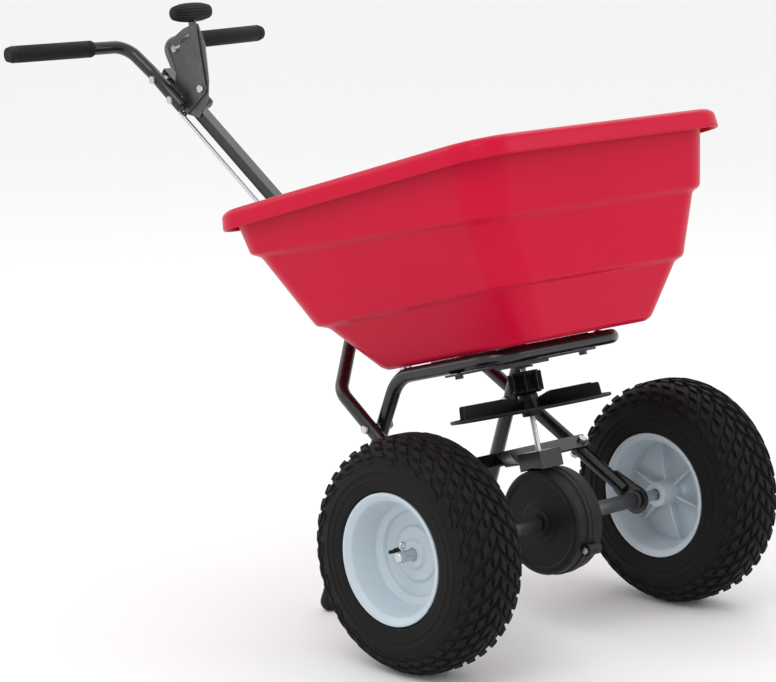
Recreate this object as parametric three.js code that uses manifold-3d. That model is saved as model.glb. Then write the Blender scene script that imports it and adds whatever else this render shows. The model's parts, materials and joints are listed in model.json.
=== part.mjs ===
// Walk-behind broadcast spreader, standing on its two wheels and its rear stand.
// World frame: millimetres, +X is the way it is pushed, +Y its left side, +Z up, ground at z = 0.
// The chassis is drawn level, with the axle centre as its origin, and tilted back as a whole.
import * as THREE from "three";
import { mergeVertices } from "three/addons/utils/BufferGeometryUtils.js";
import Module from "manifold-3d";

const wasm = await Module();
wasm.setup();

// ---------------------------------------------------------------- driving dimensions
const GAP = 0.3;
const FIT = 0.15;
const TILT = THREE.MathUtils.degToRad(15.7);

const WHEEL_R = 165;
const TRACK_HALF = 268;
const TYRE_HALF = 57;
const LUG_DEPTH = 5;
const RIM_R = 92;
const AXLE_R = 8;
const AXLE_HALF = 308;
const HUB_R = 18;

const TUBE_R = 10.5;
const SIDE_TUBE_R = 10;
const RAIL_Y = 127;
const RAIL_Z = 240;
const RAIL_FRONT = 85;
const RAIL_REAR = -122;
const FOOT_X = -335;
const FOOT_Y = 145;
const FOOT_R = 14;
const FOOT_Z = (FOOT_R - WHEEL_R - FOOT_X * Math.sin(TILT)) / Math.cos(TILT);

const BRACKET_Y = 178;
const KNEE = [-224, 147, 235];
const POLE_FOOT = [-288, 350];
const POLE_TOP = [-645, 775];
const POLE_SIDE = 17;
const BAR_Y = 26;

const DRUM_R = 75;
const DRUM_HALF = 27;
const DRUM_WALL = 3;
const SHAFT_R = 4;
const IMPELLER_R = 116;
const IMPELLER_Z = 158;
const FLOOR_Z = 252;
const FLOOR_T = 4;
const CROWN_TEETH = 40;
const PINION_TEETH = 10;
const PITCH_R = 48;
const TOOTH_HALF = 1.3;
const PINION_R = PITCH_R * PINION_TEETH / CROWN_TEETH;

const LEVER_PIVOT = [-553, 732];
const LEVER_PIN = [-606.9, 704.1];
const GAUGE_R = 100;
const STOP_R = 85;
const STOP_ANGLE = 32.5;
const KNOB_AT = [-545, 850];
const ROD_Y = -18;
const ROD_PIN_R = 2.4;
const CRANK_PIVOT = [-207, 286];
const CRANK_PIN = [-244.4, 271.9];
const CRANK_TOE = [-219.4, 250.1];

// ---------------------------------------------------------------- finishes
const FINISH = {
  red: [0xc4143a, 0.3, 0.0],
  black: [0x17181a, 0.28, 0.1],
  tyre: [0x161616, 0.85, 0.0],
  rim: [0xbfcbd3, 0.45, 0.1],
  zinc: [0xb4b8bc, 0.35, 0.9],
  steel: [0x8f9499, 0.4, 0.9],
  plastic: [0x1c1d1f, 0.5, 0.0],
  rubber: [0x202020, 0.8, 0.0],
  nylon: [0xd9d5c8, 0.5, 0.0],
};

const machine = new THREE.Group();
machine.name = "spreader";
const chassis = new THREE.Group();
chassis.name = "chassis";
chassis.position.set(0, 0, WHEEL_R);
chassis.rotation.y = -TILT;
machine.add(chassis);
const running = new THREE.Group();
running.name = "running_gear";
running.position.set(0, 0, WHEEL_R);
machine.add(running);

function put(group, name, geometry, finish) {
  const [color, roughness, metalness] = FINISH[finish];
  const material = new THREE.MeshStandardMaterial({ color, roughness, metalness });
  const mesh = new THREE.Mesh(geometry, material);
  mesh.name = name;
  group.add(mesh);
  return mesh;
}

// ---------------------------------------------------------------- joining and cutting
function toSolid(geometry) {
  const bare = geometry.clone();
  bare.deleteAttribute("normal");
  bare.deleteAttribute("uv");
  const merged = mergeVertices(bare, 1e-4);
  const mesh = new wasm.Mesh({
    numProp: 3,
    vertProperties: new Float32Array(merged.attributes.position.array),
    triVerts: new Uint32Array(merged.index.array),
  });
  return new wasm.Manifold(mesh);
}

function toGeometry(solid) {
  const mesh = solid.getMesh();
  const geometry = new THREE.BufferGeometry();
  const position = new THREE.BufferAttribute(new Float32Array(mesh.vertProperties), 3);
  geometry.setAttribute("position", position);
  geometry.setIndex(new THREE.BufferAttribute(new Uint32Array(mesh.triVerts), 1));
  const flat = geometry.toNonIndexed();
  flat.computeVertexNormals();
  return flat;
}

function join(...geometries) {
  return toGeometry(geometries.map(toSolid).reduce((whole, next) => whole.add(next)));
}

function cut(body, ...tools) {
  const start = toSolid(body);
  return toGeometry(tools.map(toSolid).reduce((whole, tool) => whole.subtract(tool), start));
}

// ---------------------------------------------------------------- plain shapes
function box(x0, x1, y0, y1, z0, z1) {
  const shape = new THREE.BoxGeometry(x1 - x0, y1 - y0, z1 - z0);
  return shape.translate((x0 + x1) / 2, (y0 + y1) / 2, (z0 + z1) / 2);
}

// A round bar between two points, or a six-sided one with segments = 6.
function bar(from, to, radius, segments = 16, endRadius = radius) {
  const a = new THREE.Vector3(...from);
  const b = new THREE.Vector3(...to);
  const shape = new THREE.CylinderGeometry(endRadius, radius, a.distanceTo(b), segments);
  const turn = new THREE.Quaternion();
  turn.setFromUnitVectors(new THREE.Vector3(0, 1, 0), b.clone().sub(a).normalize());
  shape.applyQuaternion(turn);
  return shape.translate((a.x + b.x) / 2, (a.y + b.y) / 2, (a.z + b.z) / 2);
}

function ring(from, to, outer, inner, segments = 24) {
  const a = new THREE.Vector3(...from);
  const b = new THREE.Vector3(...to);
  const along = b.clone().sub(a).normalize();
  const c = a.clone().sub(along).toArray();
  const d = b.clone().add(along).toArray();
  return cut(bar(from, to, outer, segments), bar(c, d, inner, segments));
}

// A shape turned about the Y axis from [radius, y] corners.
function turnedY(profile, segments) {
  const points = profile.map(([r, y]) => new THREE.Vector2(r, y));
  return new THREE.LatheGeometry(points, segments);
}

// The same about the Z axis from [radius, z] corners.
function turnedZ(profile, segments) {
  return turnedY(profile, segments).rotateX(Math.PI / 2);
}

// A plate drawn in the x-z plane, from y0 to y1.
function plateXZ(outline, y0, y1, holes = []) {
  const shape = new THREE.Shape(outline.map(([x, z]) => new THREE.Vector2(x, z)));
  for (const hole of holes) {
    shape.holes.push(new THREE.Path(hole.map(([x, z]) => new THREE.Vector2(x, z))));
  }
  const plate = new THREE.ExtrudeGeometry(shape, { depth: y1 - y0, bevelEnabled: false });
  return plate.rotateX(Math.PI / 2).translate(0, y1, 0);
}

function circleXZ(x, z, radius, count = 16) {
  const points = [];
  for (let i = 0; i < count; i += 1) {
    const a = (2 * Math.PI * i) / count;
    points.push([x + radius * Math.cos(a), z + radius * Math.sin(a)]);
  }
  return points;
}

// ---------------------------------------------------------------- bent tubes
// A path of straight runs with round bends, sampled only where it turns.
class BentPath extends THREE.Curve {
  constructor(corners, bend, perBend = 6) {
    super();
    this.stations = [];
    const p = corners.map((c) => new THREE.Vector3(...c));
    const first = p[1].clone().sub(p[0]).normalize();
    this.stations.push([p[0], first]);
    for (let i = 1; i < p.length - 1; i += 1) {
      this.addBend(p[i - 1], p[i], p[i + 1], bend[i - 1], perBend);
    }
    const n = p.length;
    this.stations.push([p[n - 1], p[n - 1].clone().sub(p[n - 2]).normalize()]);
  }

  addBend(before, corner, after, radius, count) {
    const u = corner.clone().sub(before).normalize();
    const v = after.clone().sub(corner).normalize();
    const angle = u.angleTo(v);
    const back = radius * Math.tan(angle / 2);
    const start = corner.clone().addScaledVector(u, -back);
    const inward = v.clone().addScaledVector(u, -v.dot(u)).normalize();
    const centre = start.clone().addScaledVector(inward, radius);
    for (let k = 0; k <= count; k += 1) {
      const a = (angle * k) / count;
      const point = centre.clone();
      point.addScaledVector(inward, -radius * Math.cos(a));
      point.addScaledVector(u, radius * Math.sin(a));
      const tangent = u.clone().multiplyScalar(Math.cos(a));
      tangent.addScaledVector(inward, Math.sin(a));
      this.stations.push([point, tangent.normalize()]);
    }
  }

  station(t) {
    return this.stations[Math.round(t * (this.stations.length - 1))];
  }

  getPoint(t) {
    return this.station(t)[0].clone();
  }

  getPointAt(t) {
    return this.getPoint(t);
  }

  getTangent(t) {
    return this.station(t)[1].clone();
  }

  getTangentAt(t) {
    return this.getTangent(t);
  }

  getSpacedPoints() {
    return this.stations.map(([point]) => point.clone());
  }
}

function tube(corners, bend, radius, segments = 12, perBend = 6) {
  const path = new BentPath(corners, bend, perBend);
  const outline = [];
  for (let i = 0; i < segments; i += 1) {
    const a = (2 * Math.PI * i) / segments;
    outline.push(new THREE.Vector2(radius * Math.cos(a), radius * Math.sin(a)));
  }
  const steps = path.stations.length - 1;
  const settings = { steps, extrudePath: path, bevelEnabled: false, curveSegments: 1 };
  return new THREE.ExtrudeGeometry(new THREE.Shape(outline), settings);
}

// A bolt along Y: a shank, a hexagon head at the start and a nut at the end.
function boltY(x, z, y0, y1, radius, across, collars = []) {
  const side = Math.sign(y1 - y0);
  const parts = [bar([x, y0, z], [x, y1, z], radius, 8)];
  const tall = across * 0.38;
  parts.push(bar([x, y0 - side * tall, z], [x, y0, z], across / 1.73, 6));
  parts.push(bar([x, y1, z], [x, y1 + side * tall, z], across / 1.73, 6));
  for (const [c0, c1, r] of collars) {
    parts.push(bar([x, c0, z], [x, c1, z], r, 8));
  }
  return join(...parts);
}

// ---------------------------------------------------------------- hopper
// Rounded rectangle: z at the centre, half length, half width, centre x, corner radius, slope.
function hopperRing([z, a, b, xc, corner, slope]) {
  const points = [];
  const steps = 6;
  const quarters = [[1, 1, 0], [-1, 1, 1], [-1, -1, 2], [1, -1, 3]];
  for (const [sx, sy, quarter] of quarters) {
    for (let i = 0; i <= steps; i += 1) {
      const t = (quarter + i / steps) * (Math.PI / 2);
      const x = xc + sx * (a - corner) + corner * Math.cos(t);
      const y = sy * (b - corner) + corner * Math.sin(t);
      points.push([x, y, z + slope * x]);
    }
  }
  return points;
}

// A closed skin over a row of rings, with a flat fan at either end.
function skinned(rings) {
  const count = rings[0].length;
  const positions = rings.flat(2);
  const centre = (points) => [0, 1, 2].map((k) => points.reduce((s, p) => s + p[k], 0) / count);
  const index = [];
  for (let r = 0; r < rings.length - 1; r += 1) {
    for (let i = 0; i < count; i += 1) {
      const j = (i + 1) % count;
      const a = r * count + i;
      const b = r * count + j;
      index.push(a, b, b + count, a, b + count, a + count);
    }
  }
  const first = rings.length * count;
  positions.push(...centre(rings[0]), ...centre(rings[rings.length - 1]));
  const top = (rings.length - 1) * count;
  for (let i = 0; i < count; i += 1) {
    const j = (i + 1) % count;
    index.push(first, j, i);
    index.push(first + 1, top + i, top + j);
  }
  const geometry = new THREE.BufferGeometry();
  geometry.setAttribute("position", new THREE.Float32BufferAttribute(positions, 3));
  geometry.setIndex(index);
  geometry.computeVertexNormals();
  return geometry;
}

function buildHopper() {
  const outside = [
    [FLOOR_Z, 151, 128, -4, 30, 0],
    [FLOOR_Z + 5, 159, 136, -4, 34, 0],
    [327, 200, 179, -15, 44, 0],
    [332.6, 212, 191, -18, 48, 0],
    [430, 246, 223, -38, 52, -0.055],
    [436.4, 256, 233, -40, 54, -0.055],
    [504, 268, 242, -36, 58, 0.02],
    [520, 268, 242, -35, 58, 0.02],
    [520, 281, 254, -34, 61, 0.02],
    [497, 283, 256, -34, 62, 0.02],
    [497, 287, 260, -34, 64, 0.02],
    [519, 285, 258, -34, 63, 0.02],
    [525, 278, 251, -34, 61, 0.02],
  ];
  const inside = [
    [525, 266, 240, -34, 57, 0.02],
    [504, 263.5, 237.5, -36, 54, 0.02],
    [438, 251.5, 228.5, -40, 50, -0.055],
    [432, 241.5, 218.5, -38, 48, -0.055],
    [334, 207.5, 186.5, -18, 44, 0],
    [328, 195.5, 174.5, -15, 40, 0],
    [FLOOR_Z + 7, 154.5, 131.5, -4, 31, 0],
    [FLOOR_Z + FLOOR_T, 148, 125, -4, 28, 0],
  ];
  const shell = skinned([...outside, ...inside].map(hopperRing));
  const holes = [bar([0, 0, 240], [0, 0, 270], 11.3, 16)];
  for (const side of [-1, 1]) {
    const low = Math.min(side * 16, side * 56);
    holes.push(box(20, 40, low, low + 40, 240, 270));
    holes.push(bar([62, side * 100, 240], [62, side * 100, 270], 3.4, 12));
  }
  put(chassis, "hopper", cut(shell, ...holes), "red");
  const profile = [
    [SHAFT_R + GAP, 250], [11, 250], [11, 256.3], [16, 256.3], [16, 259],
    [10, 262], [SHAFT_R + GAP, 262], [SHAFT_R + GAP, 250],
  ];
  put(chassis, "floor_bushing", turnedZ(profile, 20), "nylon");
  for (const [word, side] of [["left", 1], ["right", -1]]) {
    const at = side * 100;
    const screw = join(
      bar([62, at, 238], [62, at, 258], 3, 12),
      bar([62, at, 256.3], [62, at, 259.5], 6.5, 12),
      bar([62, at, 245], [62, at, 251.7], 6, 6),
    );
    put(chassis, "hopper_screw_" + word, screw, "zinc");
  }
}

// ---------------------------------------------------------------- shut-off under the hopper
function buildShutoff() {
  const plate = box(-150, 46, -62, 62, 247.2, 249.2);
  const cuts = [box(-37, 13, -13, 13, 240, 255)];
  for (const side of [-1, 1]) {
    const low = Math.min(side * 16, side * 56);
    cuts.push(box(-4.8, 15.2, low, low + 40, 240, 255));
  }
  const toe = box(-232, -149, ROD_Y - 8, ROD_Y + 1.5, 247.2, 249.2);
  const lug = box(-230, -208, ROD_Y - 1.5, ROD_Y + 1.5, 241, 262);
  const slot = plateXZ([[-222.8, 244.4], [-216, 244.4], [-216, 256.5], [-222.8, 256.5]], -30, 0);
  put(chassis, "shutoff_plate", cut(join(cut(plate, ...cuts), toe, lug), slot), "zinc");
  for (const [word, side] of [["left", 1], ["right", -1]]) {
    const wall = [side * 62.6, side * 70].sort((a, b) => a - b);
    const lip = [side * 57, side * 70].sort((a, b) => a - b);
    const guide = join(
      box(-110, 72, wall[0], wall[1], 243.5, FLOOR_Z - GAP),
      box(-110, 72, lip[0], lip[1], 243.5, 246.6),
    );
    put(chassis, "plate_guide_" + word, guide, "black");
  }
}

function strapOutline([x0, z0], [x1, z1], r0, r1, count = 8) {
  const along = Math.atan2(z1 - z0, x1 - x0);
  const points = [];
  for (let i = 0; i <= count; i += 1) {
    const a = along + Math.PI / 2 + (Math.PI * i) / count;
    points.push([x0 + r0 * Math.cos(a), z0 + r0 * Math.sin(a)]);
  }
  for (let i = 0; i <= count; i += 1) {
    const a = along - Math.PI / 2 + (Math.PI * i) / count;
    points.push([x1 + r1 * Math.cos(a), z1 + r1 * Math.sin(a)]);
  }
  return points;
}

function buildCrank() {
  const [kx, kz] = CRANK_PIVOT;
  const y0 = ROD_Y + 4;
  const y1 = y0 + 3;
  const arms = join(
    plateXZ(strapOutline(CRANK_PIVOT, CRANK_PIN, 9, 7.5), y0, y1),
    plateXZ(strapOutline(CRANK_PIVOT, CRANK_TOE, 9, 6), y0, y1),
    bar([CRANK_TOE[0], ROD_Y - 4, CRANK_TOE[1]], [CRANK_TOE[0], y1, CRANK_TOE[1]], 3, 12),
  );
  const bores = [
    bar([kx, -40, kz], [kx, 10, kz], 3.5, 12),
    bar([CRANK_PIN[0], -40, CRANK_PIN[1]], [CRANK_PIN[0], 10, CRANK_PIN[1]], ROD_PIN_R + 2.6, 12),
  ];
  put(chassis, "bell_crank", cut(arms, ...bores), "zinc");
  const pin = join(
    bar([kx, y0 - 3, kz], [kx, y1 + 8, kz], 3, 12),
    bar([kx, y0 - 5, kz], [kx, y0 - 2, kz], 5.5, 12),
    bar([kx, y1 + 6, kz], [kx, y1 + 9, kz], 5.5, 6),
  );
  put(chassis, "crank_bolt", pin, "zinc");
  const lug = plateXZ([[-216, 280], [-184, 274], [-198, 302], [-214, 297]], y1 + 2, y1 + 5.5);
  const back = plateXZ([[-177.4, 275], [-200.9, 307.5], [-204.4, 305], [-180.9, 272.5]], -24, 16);
  const bore = bar([kx, -40, kz], [kx, 30, kz], 3.3, 12);
  put(chassis, "crank_bracket", cut(join(lug, back), bore), "black");
}

// ---------------------------------------------------------------- frame
// Where a stand leg and a side tube cross, seen from the side, and how far out each one is.
function crossing() {
  const [kx, ky, kz] = KNEE;
  const lean = (RAIL_REAR - FOOT_X) / (RAIL_Z - FOOT_Z);
  const z = (lean * RAIL_Z - RAIL_REAR) / (lean - kx / kz);
  const leg = RAIL_Y + ((FOOT_Y - RAIL_Y) * (RAIL_Z - z)) / (RAIL_Z - FOOT_Z);
  const tubeY = BRACKET_Y + ((ky - BRACKET_Y) * z) / kz;
  return { x: (kx * z) / kz, z, leg, tubeY };
}

function buildFrame() {
  const corners = [
    [FOOT_X, FOOT_Y, FOOT_Z],
    [RAIL_REAR, RAIL_Y, RAIL_Z],
    [RAIL_FRONT, RAIL_Y, RAIL_Z],
    [RAIL_FRONT, -RAIL_Y, RAIL_Z],
    [RAIL_REAR, -RAIL_Y, RAIL_Z],
    [FOOT_X, -FOOT_Y, FOOT_Z],
  ];
  const loop = tube(corners, [50, 42, 42, 50], TUBE_R, 12, 4);
  const { x, z } = crossing();
  const bores = [];
  for (const side of [-1, 1]) {
    bores.push(bar([x, side * 110, z], [x, side * 175, z], 3.3, 10));
    bores.push(bar([0, side * RAIL_Y, 220], [0, side * RAIL_Y, 262], 3.3, 10));
  }
  put(chassis, "frame_loop", cut(loop, ...bores), "black");
  for (const [word, side] of [["left", 1], ["right", -1]]) {
    buildFoot(word, side);
    buildSideTube(word, side);
  }
}

function buildFoot(word, side) {
  const end = new THREE.Vector3(FOOT_X, side * FOOT_Y, FOOT_Z);
  const up = new THREE.Vector3(RAIL_REAR, side * RAIL_Y, RAIL_Z).sub(end).normalize();
  const inner = TUBE_R + GAP;
  const profile = [[0, -FOOT_R]];
  for (let i = 1; i <= 5; i += 1) {
    const a = (Math.PI / 2) * (i / 5);
    profile.push([FOOT_R * Math.sin(a), -FOOT_R * Math.cos(a)]);
  }
  profile.push([FOOT_R, 30], [inner, 32], [inner, -GAP], [0, -GAP]);
  const foot = turnedY(profile, 12);
  const turn = new THREE.Quaternion();
  turn.setFromUnitVectors(new THREE.Vector3(0, 1, 0), up);
  foot.applyQuaternion(turn).translate(end.x, end.y, end.z);
  put(chassis, "stand_foot_" + word, foot, "rubber");
}

function buildSideTube(word, side) {
  const [kx, ky, kz] = KNEE;
  const reach = Math.hypot(kx, kz);
  const ux = kx / reach;
  const uz = kz / reach;
  const slope = (ky - BRACKET_Y) / reach;
  const start = [22 * ux, side * (BRACKET_Y + 22 * slope), 22 * uz];
  const y = side * BAR_Y;
  const dir = poleDirection();
  const top = [POLE_FOOT[0] + 50 * dir[0], y, POLE_FOOT[1] + 50 * dir[1]];
  const corners = [start, [kx, side * ky, kz], [POLE_FOOT[0], y, POLE_FOOT[1]], top];
  const run = tube(corners, [45, 26], SIDE_TUBE_R, 10, 4);
  const low = side * BRACKET_Y - 3;
  const cross = crossing();
  const eye = plateXZ(strapOutline([0, 0], [46 * ux, 46 * uz], 21, 13), low, low + 6);
  const bores = [
    bar([0, low - 20, 0], [0, low + 26, 0], 14.3, 24),
    bar([cross.x, side * 110, cross.z], [cross.x, side * 190, cross.z], 3.3, 10),
    bar([BASE_BOLT[0], side * 5, BASE_BOLT[1]], [BASE_BOLT[0], side * 60, BASE_BOLT[1]], 3.3, 10),
    strapBolt(side, 3.3, 60),
  ];
  put(chassis, "side_tube_" + word, cut(join(run, eye), ...bores), "black");
  const [y0, y1] = [side * (BRACKET_Y - 8), side * (BRACKET_Y + 8)];
  const rim = side * (BRACKET_Y + 3.5);
  const bush = join(
    bar([0, y0, 0], [0, y1, 0], 14, 20),
    bar([0, rim, 0], [0, y1, 0], 18, 20),
  );
  const bore = bar([0, y0 - side, 0], [0, y1 + side, 0], AXLE_R + GAP, 20);
  put(chassis, "axle_bushing_" + word, cut(bush, bore), "nylon");
  const inside = side * (cross.leg - TUBE_R - GAP);
  const outside = side * (cross.tubeY + SIDE_TUBE_R + 1);
  const spacer = [side * (cross.leg + TUBE_R + GAP), side * (cross.tubeY - SIDE_TUBE_R - 1), 6];
  const bolt = boltY(cross.x, cross.z, inside, outside, 3, 11, [spacer]);
  put(chassis, "leg_bolt_" + word, bolt, "zinc");
}

// Where the cross strap lies on a side tube, and the direction square to that tube.
function strapSeat(side) {
  const [kx, ky, kz] = KNEE;
  const t = 88 / kz;
  const reach = Math.hypot(kx, kz);
  const at = [kx * t, side * (BRACKET_Y + (ky - BRACKET_Y) * t), 88];
  return { at, out: [kz / reach, 0, -kx / reach] };
}

function strapBolt(side, radius, length) {
  const { at, out } = strapSeat(side);
  const end = (s) => [at[0] + s * out[0], at[1], at[2] + s * out[2]];
  return bar(end(-length / 2), end(length / 2), radius, 10);
}

function buildStrap() {
  const { at, out } = strapSeat(1);
  const off = SIDE_TUBE_R + GAP + 2;
  const angle = Math.atan2(out[0], out[2]);
  const strap = new THREE.BoxGeometry(24, 2 * at[1] + 26, 4);
  strap.rotateY(angle).translate(at[0] + off * out[0], 0, at[2] + off * out[2]);
  const holes = [strapBolt(1, 3.3, 60), strapBolt(-1, 3.3, 60)];
  put(chassis, "cross_strap", cut(strap, ...holes), "black");
  for (const [word, side] of [["left", 1], ["right", -1]]) {
    const seat = strapSeat(side).at;
    const along = (s) => [seat[0] + s * out[0], seat[1], seat[2] + s * out[2]];
    const bolt = join(
      bar(along(-15), along(15), 3, 8),
      bar(along(off + 2 + GAP), along(off + 7), 6.4, 6),
      bar(along(-15), along(-SIDE_TUBE_R - GAP), 6.4, 6),
    );
    put(chassis, "strap_bolt_" + word, bolt, "zinc");
  }
}

function buildShaftSupport() {
  const parts = [
    box(-15, 15, -RAIL_Y - 13, RAIL_Y + 13, 226, 229.2),
    box(-15, 15, -40, 40, 222, 227),
  ];
  for (const y of [-RAIL_Y, RAIL_Y]) {
    parts.push(bar([0, y, 221], [0, y, 251.5], 3, 12));
    parts.push(bar([0, y, 221], [0, y, 227], 6.2, 6));
  }
  const hole = bar([0, 0, 210], [0, 0, 240], 11.3, 16);
  put(chassis, "shaft_support", cut(join(...parts), hole), "black");
  const profile = [
    [SHAFT_R + GAP, 219], [15, 219], [15, 221.7], [11, 221.7], [11, 238],
    [SHAFT_R + GAP, 238], [SHAFT_R + GAP, 219],
  ];
  put(chassis, "support_bushing", turnedZ(profile, 20), "nylon");
}

// ---------------------------------------------------------------- handle
function poleDirection() {
  const dx = POLE_TOP[0] - POLE_FOOT[0];
  const dz = POLE_TOP[1] - POLE_FOOT[1];
  const length = Math.hypot(dx, dz);
  return [dx / length, dz / length];
}

function onPole(z) {
  const t = (z - POLE_FOOT[1]) / (POLE_TOP[1] - POLE_FOOT[1]);
  return POLE_FOOT[0] + t * (POLE_TOP[0] - POLE_FOOT[0]);
}

const UPPER_BOLT = [onPole(764), 764];
const LOWER_BOLT = [onPole(726), 726];
const BASE_BOLT = [-306, 371.5];

function buildPole() {
  const [dx, dz] = poleDirection();
  const h = POLE_SIDE / 2;
  const slab = (half, from, to) => {
    const corner = (s, w) => [POLE_FOOT[0] + s * dx + w * dz, POLE_FOOT[1] + s * dz - w * dx];
    const outline = [corner(from, -half), corner(to, -half), corner(to, half), corner(from, half)];
    return plateXZ(outline, -half, half);
  };
  const length = Math.hypot(POLE_TOP[0] - POLE_FOOT[0], POLE_TOP[1] - POLE_FOOT[1]);
  const bores = [UPPER_BOLT, LOWER_BOLT, BASE_BOLT].map(([x, z]) =>
    bar([x, -30, z], [x, 30, z], 3.3, 10));
  const pole = cut(slab(h, 2, length), slab(h - 1.8, -2, length + 4), ...bores);
  put(chassis, "handle_pole", pole, "black");
  const [ux, uz] = UPPER_BOLT;
  const [lx, lz] = LOWER_BOLT;
  const near = -(BAR_Y + 10 + GAP);
  const collars = [[-15.7, -h - GAP, 5.5], [h + GAP, 15.7, 5.5]];
  put(chassis, "bar_bolt_upper", boltY(ux, uz, near, -near, 3, 11, collars), "zinc");
  const short = [[-15.7, -14.6, 5.5], [h + GAP, 15.7, 5.5]];
  put(chassis, "bar_bolt_lower", boltY(lx, lz, near, -near, 3, 11, short), "zinc");
  const [bx, bz] = BASE_BOLT;
  put(chassis, "pole_base_bolt", boltY(bx, bz, near, -near, 3, 11, collars), "zinc");
}

function barCorners(side) {
  const [dx, dz] = poleDirection();
  const foot = [LOWER_BOLT[0] - 20 * dx, side * BAR_Y, LOWER_BOLT[1] - 20 * dz];
  const kink = [UPPER_BOLT[0] + 14 * dx, side * BAR_Y, UPPER_BOLT[1] + 14 * dz];
  return [foot, kink, [-678, side * 42, 826], [-698, side * 255, 832]];
}

function buildHandlebar(word, side) {
  const corners = barCorners(side);
  const run = tube(corners, [40, 34], 10, 10, 4);
  const bores = [UPPER_BOLT, LOWER_BOLT].map(([x, z]) =>
    bar([x, side * 10, z], [x, side * 45, z], 3.3, 10));
  put(chassis, "handlebar_" + word, cut(run, ...bores), "black");
  const inner = new THREE.Vector3(...corners[2]);
  const outer = new THREE.Vector3(...corners[3]);
  const along = outer.clone().sub(inner).normalize();
  const length = 150;
  const bore = 10 + GAP;
  const profile = [
    [bore, 0], [12, 0], [13.2, 3], [13.2, length - 5], [11, length + 3], [0, length + 3],
    [0, length + GAP], [bore, length + GAP], [bore, 0],
  ];
  const grip = turnedY(profile, 16);
  const start = outer.clone().addScaledVector(along, -length);
  const turn = new THREE.Quaternion();
  turn.setFromUnitVectors(new THREE.Vector3(0, 1, 0), along);
  grip.applyQuaternion(turn).translate(start.x, start.y, start.z);
  put(chassis, "grip_" + word, grip, "rubber");
}

// ---------------------------------------------------------------- flow control at the handle
function onArc(radius, degreesBack) {
  const a = THREE.MathUtils.degToRad(degreesBack);
  return [LEVER_PIVOT[0] - radius * Math.sin(a), LEVER_PIVOT[1] + radius * Math.cos(a)];
}

function gaugeSlot(radius, half, from, to, count = 8) {
  const points = [];
  for (let i = 0; i <= count; i += 1) {
    points.push(onArc(radius + half, from + ((to - from) * i) / count));
  }
  for (let i = count; i >= 0; i -= 1) {
    points.push(onArc(radius - half, from + ((to - from) * i) / count));
  }
  return points;
}

function buildGauge() {
  const crown = [-9, 1, 12, 23, 37].map((angle) => onArc(GAUGE_R, angle));
  const outline = [
    [-622, 738], [-604, 702], [-574, 690], [-547, 713], [-537, 742], [-530, 795],
    ...crown, [-606, 775],
  ];
  const holes = [
    circleXZ(LOWER_BOLT[0], LOWER_BOLT[1], 3.4, 12),
    circleXZ(LEVER_PIVOT[0], LEVER_PIVOT[1], 3.4, 12),
    gaugeSlot(STOP_R, 3.6, 6, STOP_ANGLE + 4),
  ];
  put(chassis, "gauge_plate", plateXZ(outline, -11.2, -8.8, holes), "steel");
  const [sx, sz] = onArc(STOP_R, STOP_ANGLE);
  put(chassis, "stop_bolt", boltY(sx, sz, -12, -8.4, 3, 9, [[-15.5, -11.5, 5.5]]), "zinc");
  const [px, pz] = LEVER_PIVOT;
  put(chassis, "lever_bolt", boltY(px, pz, -14.8, -8.4, 3, 11), "zinc");
}

function buildLever() {
  const [y0, y1] = [-14.2, -11.6];
  const arms = join(
    plateXZ(strapOutline(LEVER_PIVOT, [-546, 838], 10, 8), y0, y1),
    plateXZ(strapOutline(LEVER_PIVOT, LEVER_PIN, 10, 7), y0, y1),
  );
  const bores = [[LEVER_PIVOT, 3.4], [LEVER_PIN, ROD_PIN_R + 1.8]].map(([[x, z], r]) =>
    bar([x, -30, z], [x, 5, z], r, 12));
  put(chassis, "control_lever", cut(arms, ...bores), "steel");
  const half = 38;
  const middle = (y0 + y1) / 2;
  const profile = [[0, -half]];
  for (const [t, r] of [[-1, 7], [-0.93, 10.5], [-0.6, 13.6], [0, 15], [0.6, 13.6], [0.93, 10.5], [1, 7]]) {
    profile.push([r, t * half]);
  }
  profile.push([0, half]);
  const barrel = turnedY(profile, 16).translate(KNOB_AT[0], middle, KNOB_AT[1]);
  const pocket = plateXZ(strapOutline([-550, 790], [-546, 838], 8.4, 8.4), y0 - GAP, y1 + GAP);
  put(chassis, "lever_knob", cut(barrel, pocket), "plastic");
}

function buildRod() {
  const [ax, az] = LEVER_PIN;
  const [bx, bz] = CRANK_PIN;
  const run = bar([ax, ROD_Y, az], [bx, ROD_Y, bz], 3, 10);
  const ends = [[ax, az, -11.5], [bx, bz, -9.5]].map(([x, z, reach]) =>
    bar([x, ROD_Y - 3, z], [x, reach, z], ROD_PIN_R, 10));
  put(chassis, "control_rod", join(run, ...ends), "zinc");
}

// ---------------------------------------------------------------- gearbox and spinner
function drumHalf(side) {
  const edge = side * GAP / 2;
  const face = side * DRUM_HALF;
  const wall = side * (DRUM_HALF - DRUM_WALL);
  return cut(
    join(
      bar([0, edge, 0], [0, face - side * 4, 0], DRUM_R, 28),
      bar([0, face - side * 4, 0], [0, face, 0], DRUM_R, 28, DRUM_R - 4),
      bar([0, face, 0], [0, side * 31, 0], 19, 24),
      bar([0, edge, 0], [0, side * 8, 0], DRUM_R + 2.5, 28),
      bar([-66, edge, -48], [-66, side * 12, -48], 8, 12),
      bar([66, edge, -48], [66, side * 12, -48], 8, 12),
    ),
    bar([0, side * -1, 0], [0, wall, 0], DRUM_R - DRUM_WALL, 28),
    bar([0, side * -1, 0], [0, side * 40, 0], AXLE_R + GAP, 24),
    bar([0, 0, 0], [0, 0, 90], 5.2, 12),
    bar([-66, side * -1, -48], [-66, side * 20, -48], 3.3, 10),
    bar([66, side * -1, -48], [66, side * 20, -48], 3.3, 10),
  );
}

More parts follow.
